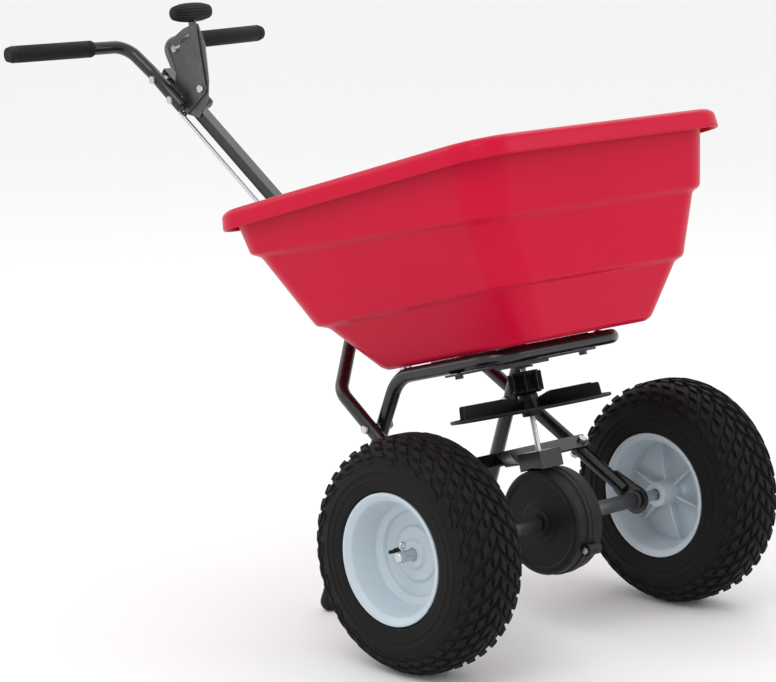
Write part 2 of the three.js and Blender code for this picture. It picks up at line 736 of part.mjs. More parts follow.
function buildGearbox() {
  for (const [word, side] of [["left", 1], ["right", -1]]) {
    put(chassis, "gearbox_half_" + word, drumHalf(side), "plastic");
  }
  for (const [word, x] of [["front", 66], ["rear", -66]]) {
    put(chassis, "gearbox_screw_" + word, boltY(x, -48, -12.3, 12.3, 3, 9), "zinc");
  }
  const block = cut(
    box(-22, 22, -22, 22, 60, 100),
    bar([0, -40, 0], [0, 40, 0], DRUM_R + 2.8, 28),
  );
  const arm = plateXZ(
    [[-21, 84], [-59.4, 84], [-78.9, 104.4], [-76.7, 106.5], [-58.1, 87], [-21, 87]], -12, 12);
  const bore = bar([0, 0, 50], [0, 0, 110], SHAFT_R + GAP, 16);
  put(chassis, "gearbox_collar", cut(join(block, arm), bore), "black");
}

function buildDriveGear() {
  const disc = [
    bar([0, 14.5, 0], [0, 18, 0], 54, 24),
    bar([0, 2, 0], [0, 23.5, 0], 14, 20),
  ];
  for (let i = 0; i < CROWN_TEETH; i += 1) {
    const tooth = box(-TOOTH_HALF, TOOTH_HALF, 10.8, 15, PITCH_R - 5, PITCH_R + 5);
    tooth.rotateY((2 * Math.PI * (i + 0.5)) / CROWN_TEETH);
    disc.push(tooth);
  }
  const bore = bar([0, 0, 0], [0, 30, 0], AXLE_R + FIT, 24);
  const gear = cut(join(...disc), bore);
  gear.rotateY(-TILT);
  put(running, "drive_gear", gear, "steel");
}

function buildSpinner() {
  const shaft = join(
    bar([0, 0, 36], [0, 0, 296], SHAFT_R, 16),
    bar([0, 0, 296], [0, 0, 300], SHAFT_R, 16, SHAFT_R - 2),
  );
  put(chassis, "spinner_shaft", shaft, "zinc");
  const pinion = [bar([0, 0, PITCH_R - 6], [0, 0, PITCH_R + 6], PINION_R - 2.6, 20)];
  pinion.push(bar([0, 0, PITCH_R + 5], [0, 0, PITCH_R + 16], 8, 16));
  for (let i = 0; i < PINION_TEETH; i += 1) {
    const tooth = box(-TOOTH_HALF, TOOTH_HALF, PINION_R - 4, PINION_R + 1.1, PITCH_R - 5, PITCH_R + 5);
    tooth.rotateZ((2 * Math.PI * i) / PINION_TEETH);
    pinion.push(tooth);
  }
  const bore = bar([0, 0, 0], [0, 0, 100], SHAFT_R + FIT, 16);
  put(chassis, "pinion_gear", cut(join(...pinion), bore), "steel");
  buildImpeller();
  const hub = [ring([0, 0, 264], [0, 0, 286], 8, SHAFT_R + FIT, 16)];
  for (const side of [-1, 1]) {
    hub.push(tube([[side * 6, 0, 275], [side * 44, 0, 275], [side * 52, 0, 300]], [10], 2.5, 8, 3));
  }
  put(chassis, "agitator", join(...hub), "zinc");
}

function buildImpeller() {
  const z = IMPELLER_Z;
  const profile = [
    [SHAFT_R + FIT, z - 8], [13, z - 8], [14, z], [IMPELLER_R - 2, z], [IMPELLER_R, z + 1],
    [IMPELLER_R, z + 5], [IMPELLER_R - 3, z + 5], [IMPELLER_R - 4, z + 3], [16, z + 3],
    [13, z + 24], [SHAFT_R + FIT, z + 24], [SHAFT_R + FIT, z - 8],
  ];
  const parts = [turnedZ(profile, 24)];
  for (let i = 0; i < 6; i += 1) {
    const vane = plateXZ(
      [[12, z + 2], [IMPELLER_R - 3, z + 2], [IMPELLER_R - 5, z + 23], [38, z + 23], [12, z + 15]],
      -1.6, 1.6);
    vane.translate(0, 3, 0).rotateZ((Math.PI * i) / 3 + 0.3);
    parts.push(vane);
  }
  put(chassis, "impeller", cut(join(...parts), bar([0, 0, 100], [0, 0, 200], SHAFT_R + FIT, 16)),
    "plastic");
  const low = z + 24 + GAP;
  const waist = [
    [SHAFT_R + FIT, low], [20, low], [22, low + 4], [13, low + 16], [20, low + 28],
    [20, low + 32], [SHAFT_R + FIT, low + 32], [SHAFT_R + FIT, low],
  ];
  const spool = [turnedZ(waist, 16)];
  for (let i = 0; i < 8; i += 1) {
    const rib = box(8, 24, -1.3, 1.3, low + 2, low + 30);
    spool.push(rib.rotateZ((Math.PI * i) / 4));
  }
  const bore = bar([0, 0, 150], [0, 0, 240], SHAFT_R + FIT, 16);
  put(chassis, "impeller_spool", cut(join(...spool), bore), "plastic");
}

// ---------------------------------------------------------------- wheels and axle
function buildAxle() {
  const shaft = join(
    bar([0, -AXLE_HALF + 2, 0], [0, AXLE_HALF - 2, 0], AXLE_R, 24),
    bar([0, AXLE_HALF - 2, 0], [0, AXLE_HALF, 0], AXLE_R, 24, AXLE_R - 2),
    bar([0, -AXLE_HALF, 0], [0, 2 - AXLE_HALF, 0], AXLE_R - 2, 24, AXLE_R),
  );
  const holes = [-1, 1].map((side) => bar([0, side * 297, -12], [0, side * 297, 12], 2.2, 10));
  put(running, "axle", cut(shaft, ...holes), "zinc");
  for (const [word, side] of [["left", 1], ["right", -1]]) {
    const sleeve = ring([0, side * 32, 0], [0, side * 169, 0], 11, AXLE_R + FIT, 20);
    put(running, "axle_sleeve_" + word, sleeve, "steel");
    const y = side * 297;
    const loop = new THREE.TorusGeometry(5, 1.6, 5, 10).rotateY(Math.PI / 2);
    const pin = join(bar([0, y, -13], [0, y, 12], 1.9, 10), loop.translate(0, y, 15.5));
    put(running, "axle_pin_" + word, pin, "zinc");
  }
}

function rimGeometry(side) {
  const profile = [
    [RIM_R, 54], [RIM_R, 49.4], [85, 49], [76, 24], [76, -24], [85, -49],
    [RIM_R, -49.4], [RIM_R, -54], [88, -54], [81, -49], [72, -22], [72, -5], [24, -5],
    [HUB_R, -10], [HUB_R, -48], [AXLE_R + FIT, -48], [AXLE_R + FIT, 10], [HUB_R, 10],
    [22, 5], [37, 4], [40, 0.5], [57, 0.5], [60, 8], [69, 11], [73, 24], [80, 48],
    [88, 54], [RIM_R, 54],
  ].map(([r, w]) => [r, side * (TRACK_HALF + w)]);
  if (side > 0) profile.reverse();
  const parts = [turnedY(profile, 24)];
  for (let i = 0; i < 6; i += 1) {
    const y = [side * (TRACK_HALF - 20), side * (TRACK_HALF - 4)].sort((a, b) => a - b);
    const rib = box(16, 73.5, y[0], y[1], -1.6, 1.6);
    parts.push(rib.rotateY((Math.PI * i) / 3 + 0.26));
  }
  const hole = bar([-30, side * (TRACK_HALF - 20), 0], [-30, side * (TRACK_HALF + 20), 0], 4.2, 12);
  return cut(join(...parts), hole);
}

function tyreGeometry(side) {
  const crown = WHEEL_R - LUG_DEPTH;
  const half = [
    [85.6, 48.6], [92.6, 48.6], [94, 54], [104, TYRE_HALF], [126, TYRE_HALF], [148, 49],
    [crown, 26],
  ];
  const liner = [
    [crown - 10, 20], [138, 41], [116, 48], [98, 46], [85.6, 36],
  ];
  const outer = [...half, ...half.map(([r, w]) => [r, -w]).reverse()];
  const inner = [...[...liner].reverse().map(([r, w]) => [r, -w]), ...liner];
  const profile = [...outer, ...inner, half[0]].map(([r, w]) => [r, side * TRACK_HALF + w]);
  profile.reverse();
  const parts = [turnedY(profile, 24)];
  const lugs = 14;
  for (let i = 0; i < lugs; i += 1) {
    for (const row of [-1, 1]) {
      const y = side * TRACK_HALF + row * 19;
      const lug = box(-9, 9, y - 12, y + 12, crown - 6, WHEEL_R - 0.25);
      parts.push(lug.rotateY((2 * Math.PI * (i + row * 0.25)) / lugs));
    }
  }
  return join(...parts);
}

function buildWheel(word, side) {
  put(running, "rim_" + word, rimGeometry(side), "rim");
  put(running, "tyre_" + word, tyreGeometry(side), "tyre");
  const y = (w) => side * (TRACK_HALF + w);
  const stem = join(
    bar([-30, y(-9), 0], [-30, y(14), 0], 4, 12),
    bar([-30, y(14), 0], [-30, y(24), 0], 2.6, 10),
    bar([-30, y(-9), 0], [-30, y(-5.5), 0], 6, 12),
  );
  put(running, "valve_stem_" + word, stem, "rubber");
}

buildHopper();
buildShutoff();
buildCrank();
buildFrame();
buildStrap();
buildShaftSupport();
buildPole();
buildHandlebar("left", 1);
buildHandlebar("right", -1);
buildGauge();
buildLever();
buildRod();
buildGearbox();
buildDriveGear();
buildSpinner();
buildAxle();
buildWheel("left", 1);
buildWheel("right", -1);

// The finished machine stands with the middle of its footprint over the origin.
machine.updateMatrixWorld(true);
const extent = new THREE.Box3().setFromObject(machine, true);
machine.position.x = -(extent.min.x + extent.max.x) / 2;

export default machine;
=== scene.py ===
"""Looks for a walk-behind broadcast spreader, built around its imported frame.

Shapes are drawn in millimetres and scaled once, when a piece is placed. Chassis shapes use the
chassis's own level frame, with the axle's centre as origin; the wheels use an upright frame there.
"""

from __future__ import annotations

import json
import logging
import math
from dataclasses import dataclass, field
from enum import Enum

import bmesh
import bpy
from mathutils import Matrix, Vector

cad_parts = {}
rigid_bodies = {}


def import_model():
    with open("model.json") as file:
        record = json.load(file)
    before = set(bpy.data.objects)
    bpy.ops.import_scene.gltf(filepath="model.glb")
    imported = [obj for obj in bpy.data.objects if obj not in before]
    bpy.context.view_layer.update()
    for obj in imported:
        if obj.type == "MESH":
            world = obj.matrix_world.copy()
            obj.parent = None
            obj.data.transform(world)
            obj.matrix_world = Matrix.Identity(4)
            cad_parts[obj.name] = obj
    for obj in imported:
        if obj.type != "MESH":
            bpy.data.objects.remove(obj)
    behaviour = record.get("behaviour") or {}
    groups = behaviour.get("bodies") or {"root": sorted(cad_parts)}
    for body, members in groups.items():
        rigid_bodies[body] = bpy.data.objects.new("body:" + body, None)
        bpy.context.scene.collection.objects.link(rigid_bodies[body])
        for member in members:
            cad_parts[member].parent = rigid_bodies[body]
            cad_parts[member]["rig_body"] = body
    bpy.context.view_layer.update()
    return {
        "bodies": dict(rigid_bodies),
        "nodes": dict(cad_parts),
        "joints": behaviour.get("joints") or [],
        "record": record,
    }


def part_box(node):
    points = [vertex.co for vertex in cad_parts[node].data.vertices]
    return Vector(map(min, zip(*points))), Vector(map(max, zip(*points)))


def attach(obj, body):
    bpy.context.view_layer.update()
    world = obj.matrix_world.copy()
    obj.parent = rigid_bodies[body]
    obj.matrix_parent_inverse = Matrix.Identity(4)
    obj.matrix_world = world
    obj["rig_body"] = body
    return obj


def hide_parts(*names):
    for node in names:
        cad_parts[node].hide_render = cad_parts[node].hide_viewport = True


LOG = logging.getLogger("spreader")
MM = 0.001
TILT = math.radians(15.7)
SMOOTH_BELOW = math.radians(50)
COAT_ROUGHNESS = 0.12
DUST_COLOUR = (0.42, 0.39, 0.35)

Point = tuple[float, float, float]
Pair = tuple[float, float]
Colour = tuple[float, float, float]


class Side(Enum):
    """Which side of the machine a piece is on, as the sign of its Y."""

    LEFT = 1
    RIGHT = -1

    @property
    def word(self) -> str:
        """The side's name, as node names use it."""
        return self.name.lower()


class Body(Enum):
    """The bodies that the drawn pieces ride on."""

    CHASSIS = "chassis"
    DRIVE = "axle_and_drive_wheel"
    FREE = "free_wheel"
    SPINNER = "spinner"
    LEVER = "lever"


class Slot(Enum):
    """The finishes that the record names."""

    HOPPER = "hopper_plastic"
    FRAME = "frame_paint"
    TYRE = "tyre_rubber"
    RIM = "rim_paint"
    ZINC = "zinc_steel"
    STEEL = "bare_steel"
    PLASTIC = "black_plastic"
    RUBBER = "soft_rubber"
    NYLON = "nylon"


# ---------------------------------------------------------------- shader node groups
class Wiring:
    """Adds and joins nodes in one tree."""

    def __init__(self, tree: bpy.types.NodeTree) -> None:
        """Keeps the tree.

        Args:
            tree: The material's or group's node tree.
        """
        self.tree = tree

    def add(self, kind: str, **settings: object) -> bpy.types.Node:
        """Adds a node.

        Args:
            kind: The node's type name.
            **settings: Node properties to set.

        Returns:
            The new node.
        """
        node = self.tree.nodes.new(kind)
        for key, value in settings.items():
            setattr(node, key, value)
        return node

    def join(self, source: bpy.types.NodeSocket, target: bpy.types.NodeSocket) -> None:
        """Joins an output to an input."""
        self.tree.links.new(source, target)

    def sum(self, operation: str, first: object, second: object) -> bpy.types.NodeSocket:
        """Works out one operation on two numbers.

        Args:
            operation: The Math node's operation.
            first: An output socket or a number.
            second: An output socket or a number.

        Returns:
            The result's socket.
        """
        node = self.add("ShaderNodeMath", operation=operation)
        for index, value in enumerate((first, second)):
            if isinstance(value, bpy.types.NodeSocket):
                self.join(value, node.inputs[index])
            else:
                node.inputs[index].default_value = value
        return node.outputs[0]

    def spread(self, source: bpy.types.NodeSocket, span: Pair, onto: Pair) -> bpy.types.NodeSocket:
        """Maps one span of values onto another, clamped.

        Args:
            source: The value to map.
            span: Its lowest and highest value.
            onto: What those become.

        Returns:
            The mapped value's socket.
        """
        node = self.add("ShaderNodeMapRange", clamp=True)
        self.join(source, node.inputs["Value"])
        for name, value in zip(("From Min", "From Max", "To Min", "To Max"), span + onto):
            node.inputs[name].default_value = value
        return node.outputs["Result"]

    def noise(self, scale: object, detail: float = 5.0) -> bpy.types.Node:
        """Adds a noise that sticks to its object.

        Args:
            scale: A socket or a number, in waves per metre.
            detail: How many finer octaves it holds.

        Returns:
            The noise node.
        """
        place = self.add("ShaderNodeTexCoord")
        node = self.add("ShaderNodeTexNoise")
        self.join(place.outputs["Object"], node.inputs["Vector"])
        if isinstance(scale, bpy.types.NodeSocket):
            self.join(scale, node.inputs["Scale"])
        else:
            node.inputs["Scale"].default_value = scale
        node.inputs["Detail"].default_value = detail
        return node


def new_group(name: str, inputs: dict[str, str], outputs: dict[str, str]) -> tuple:
    """Starts a shader node group.

    Args:
        name: The group's name.
        inputs: Socket types by name.
        outputs: Socket types by name.

    Returns:
        The group, its wiring, its input node and its output node.
    """
    group = bpy.data.node_groups.new(name, "ShaderNodeTree")
    for direction, sockets in (("INPUT", inputs), ("OUTPUT", outputs)):
        for label, kind in sockets.items():
            group.interface.new_socket(name=label, in_out=direction, socket_type=kind)
    wiring = Wiring(group)
    return group, wiring, wiring.add("NodeGroupInput"), wiring.add("NodeGroupOutput")


class Effects:
    """The surface effects that the finishes share, each a node group built once."""

    NUMBER = "NodeSocketFloat"
    TINT = "NodeSocketColor"

    def __init__(self) -> None:
        """Builds the groups."""
        self.grain = self.build_grain()
        self.tone = self.build_tone()
        self.wear = self.build_wear()
        self.dust = self.build_dust()

    def build_grain(self) -> bpy.types.NodeTree:
        """Builds a drawn-out fine grain.

        Returns:
            The group, which puts out a value from 0 to 1.
        """
        group, wiring, given, result = new_group(
            "drawn_grain", {"Scale": self.NUMBER, "Draw": self.NUMBER}, {"Value": self.NUMBER})
        place = wiring.add("ShaderNodeTexCoord")
        draw = wiring.add("ShaderNodeCombineXYZ")
        draw.inputs["X"].default_value = 1.0
        draw.inputs["Z"].default_value = 1.0
        wiring.join(given.outputs["Draw"], draw.inputs["Y"])
        scaled = wiring.add("ShaderNodeVectorMath", operation="MULTIPLY")
        wiring.join(place.outputs["Object"], scaled.inputs[0])
        wiring.join(draw.outputs[0], scaled.inputs[1])
        noise = wiring.add("ShaderNodeTexNoise")
        noise.inputs["Detail"].default_value = 6.0
        wiring.join(scaled.outputs[0], noise.inputs["Vector"])
        wiring.join(given.outputs["Scale"], noise.inputs["Scale"])
        wiring.join(noise.outputs[0], result.inputs["Value"])
        return group

    def build_tone(self) -> bpy.types.NodeTree:
        """Builds a slow drift in lightness.

        Returns:
            The group, which puts out a colour.
        """
        group, wiring, given, result = new_group(
            "tone_drift",
            {"Colour": self.TINT, "Amount": self.NUMBER, "Scale": self.NUMBER},
            {"Colour": self.TINT})
        noise = wiring.noise(given.outputs["Scale"], 3.0)
        centred = wiring.sum("SUBTRACT", noise.outputs[0], 0.5)
        shift = wiring.sum("MULTIPLY", centred, given.outputs["Amount"])
        shade = wiring.add("ShaderNodeHueSaturation")
        wiring.join(wiring.sum("ADD", shift, 1.0), shade.inputs["Value"])
        wiring.join(given.outputs["Colour"], shade.inputs["Color"])
        wiring.join(shade.outputs[0], result.inputs["Colour"])
        return group

    def build_overlay(self, name: str, mask_from: str, noise_scale: float) -> bpy.types.NodeTree:
        """Builds a patchy second colour laid over the first.

        Args:
            name: The group's name.
            mask_from: "Pointiness" for edges, or "Normal" for faces that look up.
            noise_scale: How fine its patches are, in waves per metre.

        Returns:
            The group, which puts out a colour and its mask.
        """
        group, wiring, given, result = new_group(
            name,
            {"Colour": self.TINT, "Over": self.TINT, "Amount": self.NUMBER},
            {"Colour": self.TINT, "Mask": self.NUMBER})
        shape = wiring.add("ShaderNodeNewGeometry")
        if mask_from == "Normal":
            split = wiring.add("ShaderNodeSeparateXYZ")
            wiring.join(shape.outputs["Normal"], split.inputs[0])
            where = wiring.spread(split.outputs["Z"], (0.15, 0.95), (0.0, 1.0))
        else:
            where = wiring.spread(shape.outputs["Pointiness"], (0.53, 0.62), (0.0, 1.0))
        patches = wiring.spread(wiring.noise(noise_scale).outputs[0], (0.35, 0.7), (0.0, 1.0))
        mask = wiring.sum(
            "MULTIPLY", wiring.sum("MULTIPLY", where, patches), given.outputs["Amount"])
        mix = wiring.add("ShaderNodeMix", data_type="RGBA")
        wiring.join(mask, mix.inputs[0])
        wiring.join(given.outputs["Colour"], mix.inputs[6])
        wiring.join(given.outputs["Over"], mix.inputs[7])
        wiring.join(mix.outputs[2], result.inputs["Colour"])
        wiring.join(mask, result.inputs["Mask"])
        return group

    def build_wear(self) -> bpy.types.NodeTree:
        """Builds rubbed edges."""
        return self.build_overlay("rubbed_edges", "Pointiness", 90.0)

    def build_dust(self) -> bpy.types.NodeTree:
        """Builds settled dust."""
        return self.build_overlay("settled_dust", "Normal", 24.0)


# ---------------------------------------------------------------- finishes
@dataclass(frozen=True)
class Finish:
    """One finish, with its grain, drift in tone, rubbed edges and settled dust."""

    slot: Slot
    colour: Colour
    rough: Pair
    metallic: float = 0.0
    grain_scale: float = 700.0
    grain_draw: float = 1.0
    bump: float = 0.05
    bump_mm: float = 0.2
    tone: float = 0.12
    tone_scale: float = 7.0
    worn: Colour = (0.5, 0.5, 0.5)
    wear: float = 0.0
    dust: float = 0.05
    coat: float = 0.0
    specular: float = 0.5

    def placed(self, wiring: Wiring, group: bpy.types.NodeTree, **values: object) -> bpy.types.Node:
        """Places a shared effect with this finish's own values.

        Args:
            wiring: The material's wiring.
            group: The effect.
            **values: Numbers, colours or sockets by input name.

        Returns:
            The placed group node.
        """
        node = wiring.add("ShaderNodeGroup", node_tree=group)
        for name, value in values.items():
            if isinstance(value, bpy.types.NodeSocket):
                wiring.join(value, node.inputs[name])
            elif isinstance(value, tuple):
                node.inputs[name].default_value = (*value, 1.0)
            else:
                node.inputs[name].default_value = value
        return node

    def make(self, effects: Effects) -> bpy.types.Material:
        """Makes the material.

        Args:
            effects: The shared node groups.

        Returns:
            The material.
        """
        material = bpy.data.materials.new(self.slot.value)
        material.use_nodes = True
        material.node_tree.nodes.clear()
        wiring = Wiring(material.node_tree)
        shader = wiring.add("ShaderNodeBsdfPrincipled")
        shader.inputs["Metallic"].default_value = self.metallic
        shader.inputs["Coat Weight"].default_value = self.coat
        shader.inputs["Specular IOR Level"].default_value = self.specular
        shader.inputs["Coat Roughness"].default_value = COAT_ROUGHNESS
        output = wiring.add("ShaderNodeOutputMaterial")
        wiring.join(shader.outputs[0], output.inputs["Surface"])
        grain = self.placed(
            wiring, effects.grain, Scale=self.grain_scale, Draw=self.grain_draw)
        tone = self.placed(
            wiring, effects.tone, Colour=self.colour, Amount=self.tone, Scale=self.tone_scale)
        worn = self.placed(
            wiring, effects.wear, Colour=tone.outputs[0], Over=self.worn, Amount=self.wear)
        dust = self.placed(
            wiring, effects.dust, Colour=worn.outputs[0], Over=DUST_COLOUR, Amount=self.dust)
        wiring.join(dust.outputs["Colour"], shader.inputs["Base Color"])
        rough = wiring.spread(grain.outputs[0], (0.3, 0.7), self.rough)
        duller = wiring.sum("ADD", rough, wiring.sum("MULTIPLY", dust.outputs["Mask"], 0.5))
        wiring.join(duller, shader.inputs["Roughness"])
        bump = wiring.add("ShaderNodeBump")
        bump.inputs["Strength"].default_value = self.bump
        bump.inputs["Distance"].default_value = self.bump_mm * MM
        wiring.join(grain.outputs[0], bump.inputs["Height"])
        wiring.join(bump.outputs[0], shader.inputs["Normal"])
        return material


FINISHES = (
    Finish(Slot.HOPPER, (0.53, 0.004, 0.034), (0.27, 0.36), grain_scale=420.0, bump=0.12,
           bump_mm=0.3, tone=0.10, worn=(0.62, 0.03, 0.07), wear=0.25, dust=0.0, specular=0.12),
    Finish(Slot.FRAME, (0.004, 0.004, 0.0045), (0.2, 0.32), grain_scale=520.0, bump=0.16,
           bump_mm=0.25, tone=0.2, worn=(0.04, 0.04, 0.04), wear=0.25, dust=0.0, coat=0.2),
    Finish(Slot.TYRE, (0.0045, 0.0045, 0.0048), (0.6, 0.8), grain_scale=900.0, bump=0.35,
           bump_mm=0.3, tone=0.4, tone_scale=16.0, worn=(0.018, 0.0175, 0.017), wear=0.5, dust=0.01,
           specular=0.2),
    Finish(Slot.RIM, (0.47, 0.545, 0.60), (0.32, 0.45), grain_scale=600.0, bump=0.08,
           tone=0.06, worn=(0.66, 0.71, 0.75), wear=0.3, dust=0.03, coat=0.15),
    Finish(Slot.ZINC, (0.58, 0.59, 0.61), (0.22, 0.4), metallic=1.0, grain_scale=240.0,
           grain_draw=0.2, bump=0.1, tone=0.3, tone_scale=40.0, worn=(0.8, 0.8, 0.8), wear=0.4),
    Finish(Slot.STEEL, (0.12, 0.123, 0.128), (0.34, 0.52), metallic=0.9, grain_scale=300.0,
           grain_draw=0.25, bump=0.12, tone=0.35, tone_scale=34.0, worn=(0.6, 0.6, 0.6), wear=0.4),
    Finish(Slot.PLASTIC, (0.005, 0.005, 0.0055), (0.42, 0.58), grain_scale=1100.0, bump=0.3,
           tone=0.25, worn=(0.06, 0.06, 0.06), wear=0.35, specular=0.25),
    Finish(Slot.RUBBER, (0.006, 0.006, 0.006), (0.6, 0.78), grain_scale=1300.0, bump=0.4,
           tone=0.3, worn=(0.05, 0.05, 0.05), wear=0.3, specular=0.25),
    Finish(Slot.NYLON, (0.03, 0.03, 0.032), (0.4, 0.55), grain_scale=800.0, bump=0.12, tone=0.1),
)


# ---------------------------------------------------------------- shapes
@dataclass
class Shape:
    """A mesh in the making, in millimetres."""

    points: list[Vector] = field(default_factory=list)
    faces: list[tuple[int, ...]] = field(default_factory=list)

    def add(self, points: list, faces: list[tuple[int, ...]]) -> None:
        """Adds points and faces that count from the first of those points."""
        base = len(self.points)
        self.points.extend(Vector(p) for p in points)
        self.faces.extend(tuple(base + i for i in face) for face in faces)

    def merge(self, *others: "Shape") -> "Shape":
        """Adds other shapes to this one, and returns it."""
        for other in others:
            self.add(other.points, other.faces)
        return self

    def moved(self, matrix: Matrix) -> "Shape":
        """Moves every point, and returns the shape."""
        self.points = [matrix @ p for p in self.points]
        return self


def ring_faces(rows: int, count: int, wrap: bool) -> list[tuple[int, ...]]:
    """Joins rows of points with quads.

    Args:
        rows: How many rows there are.
        count: Points in each row, which closes on itself.
        wrap: Whether the last row joins the first.

    Returns:
        The faces.
    """
    faces = []
    for row in range(rows if wrap else rows - 1):
        after = (row + 1) % rows
        for i in range(count):
            j = (i + 1) % count
            faces.append((row * count + i, row * count + j, after * count + j, after * count + i))
    return faces


def skin(rings: list[list[Point]], wrap: bool = False) -> Shape:
    """Skins a row of closed rings, with a flat cap at both ends unless it wraps."""
    count = len(rings[0])
    faces = ring_faces(len(rings), count, wrap)
    if not wrap:
        faces.append(tuple(range(count)))
        faces.append(tuple((len(rings) - 1) * count + i for i in range(count)))
    shape = Shape()
    shape.add([p for ring in rings for p in ring], faces)
    return shape


def rounded(
        corners: list[tuple], reach: float, steps: int = 4, closed: bool = False) -> list[tuple]:
    """Rounds the corners of a line of any dimension.

    Args:
        corners: The line's corners.
        reach: How far from a corner its round begins.
        steps: Points along each round.
        closed: Whether the last corner joins the first.

    Returns:
        The rounded line.
    """
    line = []
    last = len(corners) - 1
    for i, corner in enumerate(corners):
        if not closed and i in (0, last):
            line.append(tuple(corner))
            continue
        ends = []
        for other in (corners[i - 1], corners[(i + 1) % len(corners)]):
            share = min(reach / max(math.dist(corner, other), 1e-6), 0.45)
            ends.append([c + (o - c) * share for c, o in zip(corner, other)])
        for k in range(steps + 1):
            t = k / steps
            line.append(tuple(
                (1 - t) ** 2 * a + 2 * t * (1 - t) * c + t * t * b
                for a, c, b in zip(ends[0], corner, ends[1])))
    return line


def turned(profile: list[Pair], segments: int = 64, flutes: int = 0, depth: float = 0.0) -> Shape:
    """Turns a closed outline of (radius, y) corners about Y.

    Args:
        profile: The outline, whose last corner joins its first.
        segments: Steps in a full turn.
        flutes: Flutes round the turn, or 0 for none.
        depth: How deep a flute is.

    Returns:
        The turned shape.
    """
    rings = []
    for i in range(segments):
        a = 2 * math.pi * i / segments
        dip = depth * (0.5 + 0.5 * math.cos(flutes * a)) ** 2 if flutes else 0.0
        rings.append([
            (max(r - dip, 0.0) * math.sin(a), y, max(r - dip, 0.0) * math.cos(a))
            for r, y in profile])
    return skin(rings, wrap=True)


def turned_z(profile: list[Pair], segments: int = 64) -> Shape:
    """The same about Z, from (radius, z) corners."""
    return turned(profile, segments).moved(Matrix.Rotation(math.pi / 2, 4, "X"))


def plate(outline: list[Pair], y0: float, y1: float) -> Shape:
    """A plate drawn in the x-z plane, from y0 to y1."""
    return skin([[(x, y, z) for x, z in outline] for y in (y0, y1)])


def block(low: Point, high: Point) -> Shape:
    """A block between two corners."""
    corners = [(low[0], low[2]), (high[0], low[2]), (high[0], high[2]), (low[0], high[2])]
    return plate(corners, low[1], high[1])


def disc(x: float, z: float, radius: float, y0: float, y1: float) -> Shape:
    """A round bar along Y."""
    outline = [(radius, y0), (radius, y1), (0.0, y1), (0.0, y0)]
    return turned(outline, 40).moved(Matrix.Translation((x, 0.0, z)))


@dataclass(frozen=True)
class TubeRun:
    """A round tube of straight runs with round bends."""

    corners: tuple[Point, ...]
    bends: tuple[float, ...]
    radius: float
    sides: int = 28
    per_bend: int = 14

    def stations(self) -> list[tuple[Vector, Vector]]:
        """Finds the tube's centreline.

        Returns:
            Each station's point and direction.
        """
        p = [Vector(c) for c in self.corners]
        found = [(p[0], (p[1] - p[0]).normalized())]
        for i, bend in enumerate(self.bends, start=1):
            u = (p[i] - p[i - 1]).normalized()
            v = (p[i + 1] - p[i]).normalized()
            angle = u.angle(v)
            start = p[i] - u * (bend * math.tan(angle / 2))
            inward = (v - u * v.dot(u)).normalized()
            centre = start + inward * bend
            for k in range(self.per_bend + 1):
                a = angle * k / self.per_bend
                point = centre - inward * (bend * math.cos(a)) + u * (bend * math.sin(a))
                found.append((point, u * math.cos(a) + inward * math.sin(a)))
        found.append((p[-1], (p[-1] - p[-2]).normalized()))
        return found

    def shape(self) -> Shape:
        """Skins the tube.

        Returns:
            The tube's shape, with softened ends.
        """
        line = self.stations()
        tangent = line[0][1]
        across = tangent.orthogonal().normalized()
        rings = []
        for index, (point, along) in enumerate(line):
            across = tangent.rotation_difference(along) @ across
            tangent = along
            other = along.cross(across)
            at_end = index in (0, len(line) - 1)
            inwards = along * (1.0 if index == 0 else -1.0)
            cuts = [(0.0, 0.88), (1.2, 1.0)] if at_end else [(0.0, 1.0)]
            if index == len(line) - 1:
                cuts.reverse()
            for back, share in cuts:
                centre = point + inwards * back if at_end else point
                rings.append([
                    tuple(centre
                          + (across * math.cos(t) + other * math.sin(t)) * self.radius * share)
                    for t in (2 * math.pi * k / self.sides for k in range(self.sides))])
        return skin(rings)


def strap_outline(start: Pair, end: Pair, r0: float, r1: float, count: int = 16) -> list[Pair]:
    """Outlines a flat strap with round ends.

    Args:
        start: The middle of its first end.
        end: The middle of its second end.
        r0: The first end's radius.
        r1: The second end's radius.
        count: Steps round each end.

    Returns:
        The outline.
    """
    along = math.atan2(end[1] - start[1], end[0] - start[0])
    points = []
    for (x, z), radius, first in ((start, r0, math.pi / 2), (end, r1, -math.pi / 2)):
        for i in range(count + 1):
            a = along + first + math.pi * i / count
            points.append((x + radius * math.cos(a), z + radius * math.sin(a)))
    return points


def aimed(direction: Vector, at: Vector) -> Matrix:
    """The move that takes a shape along Y to a point and a direction."""
    turn = Vector((0.0, 1.0, 0.0)).rotation_difference(direction)
    return Matrix.Translation(at) @ turn.to_matrix().to_4x4()


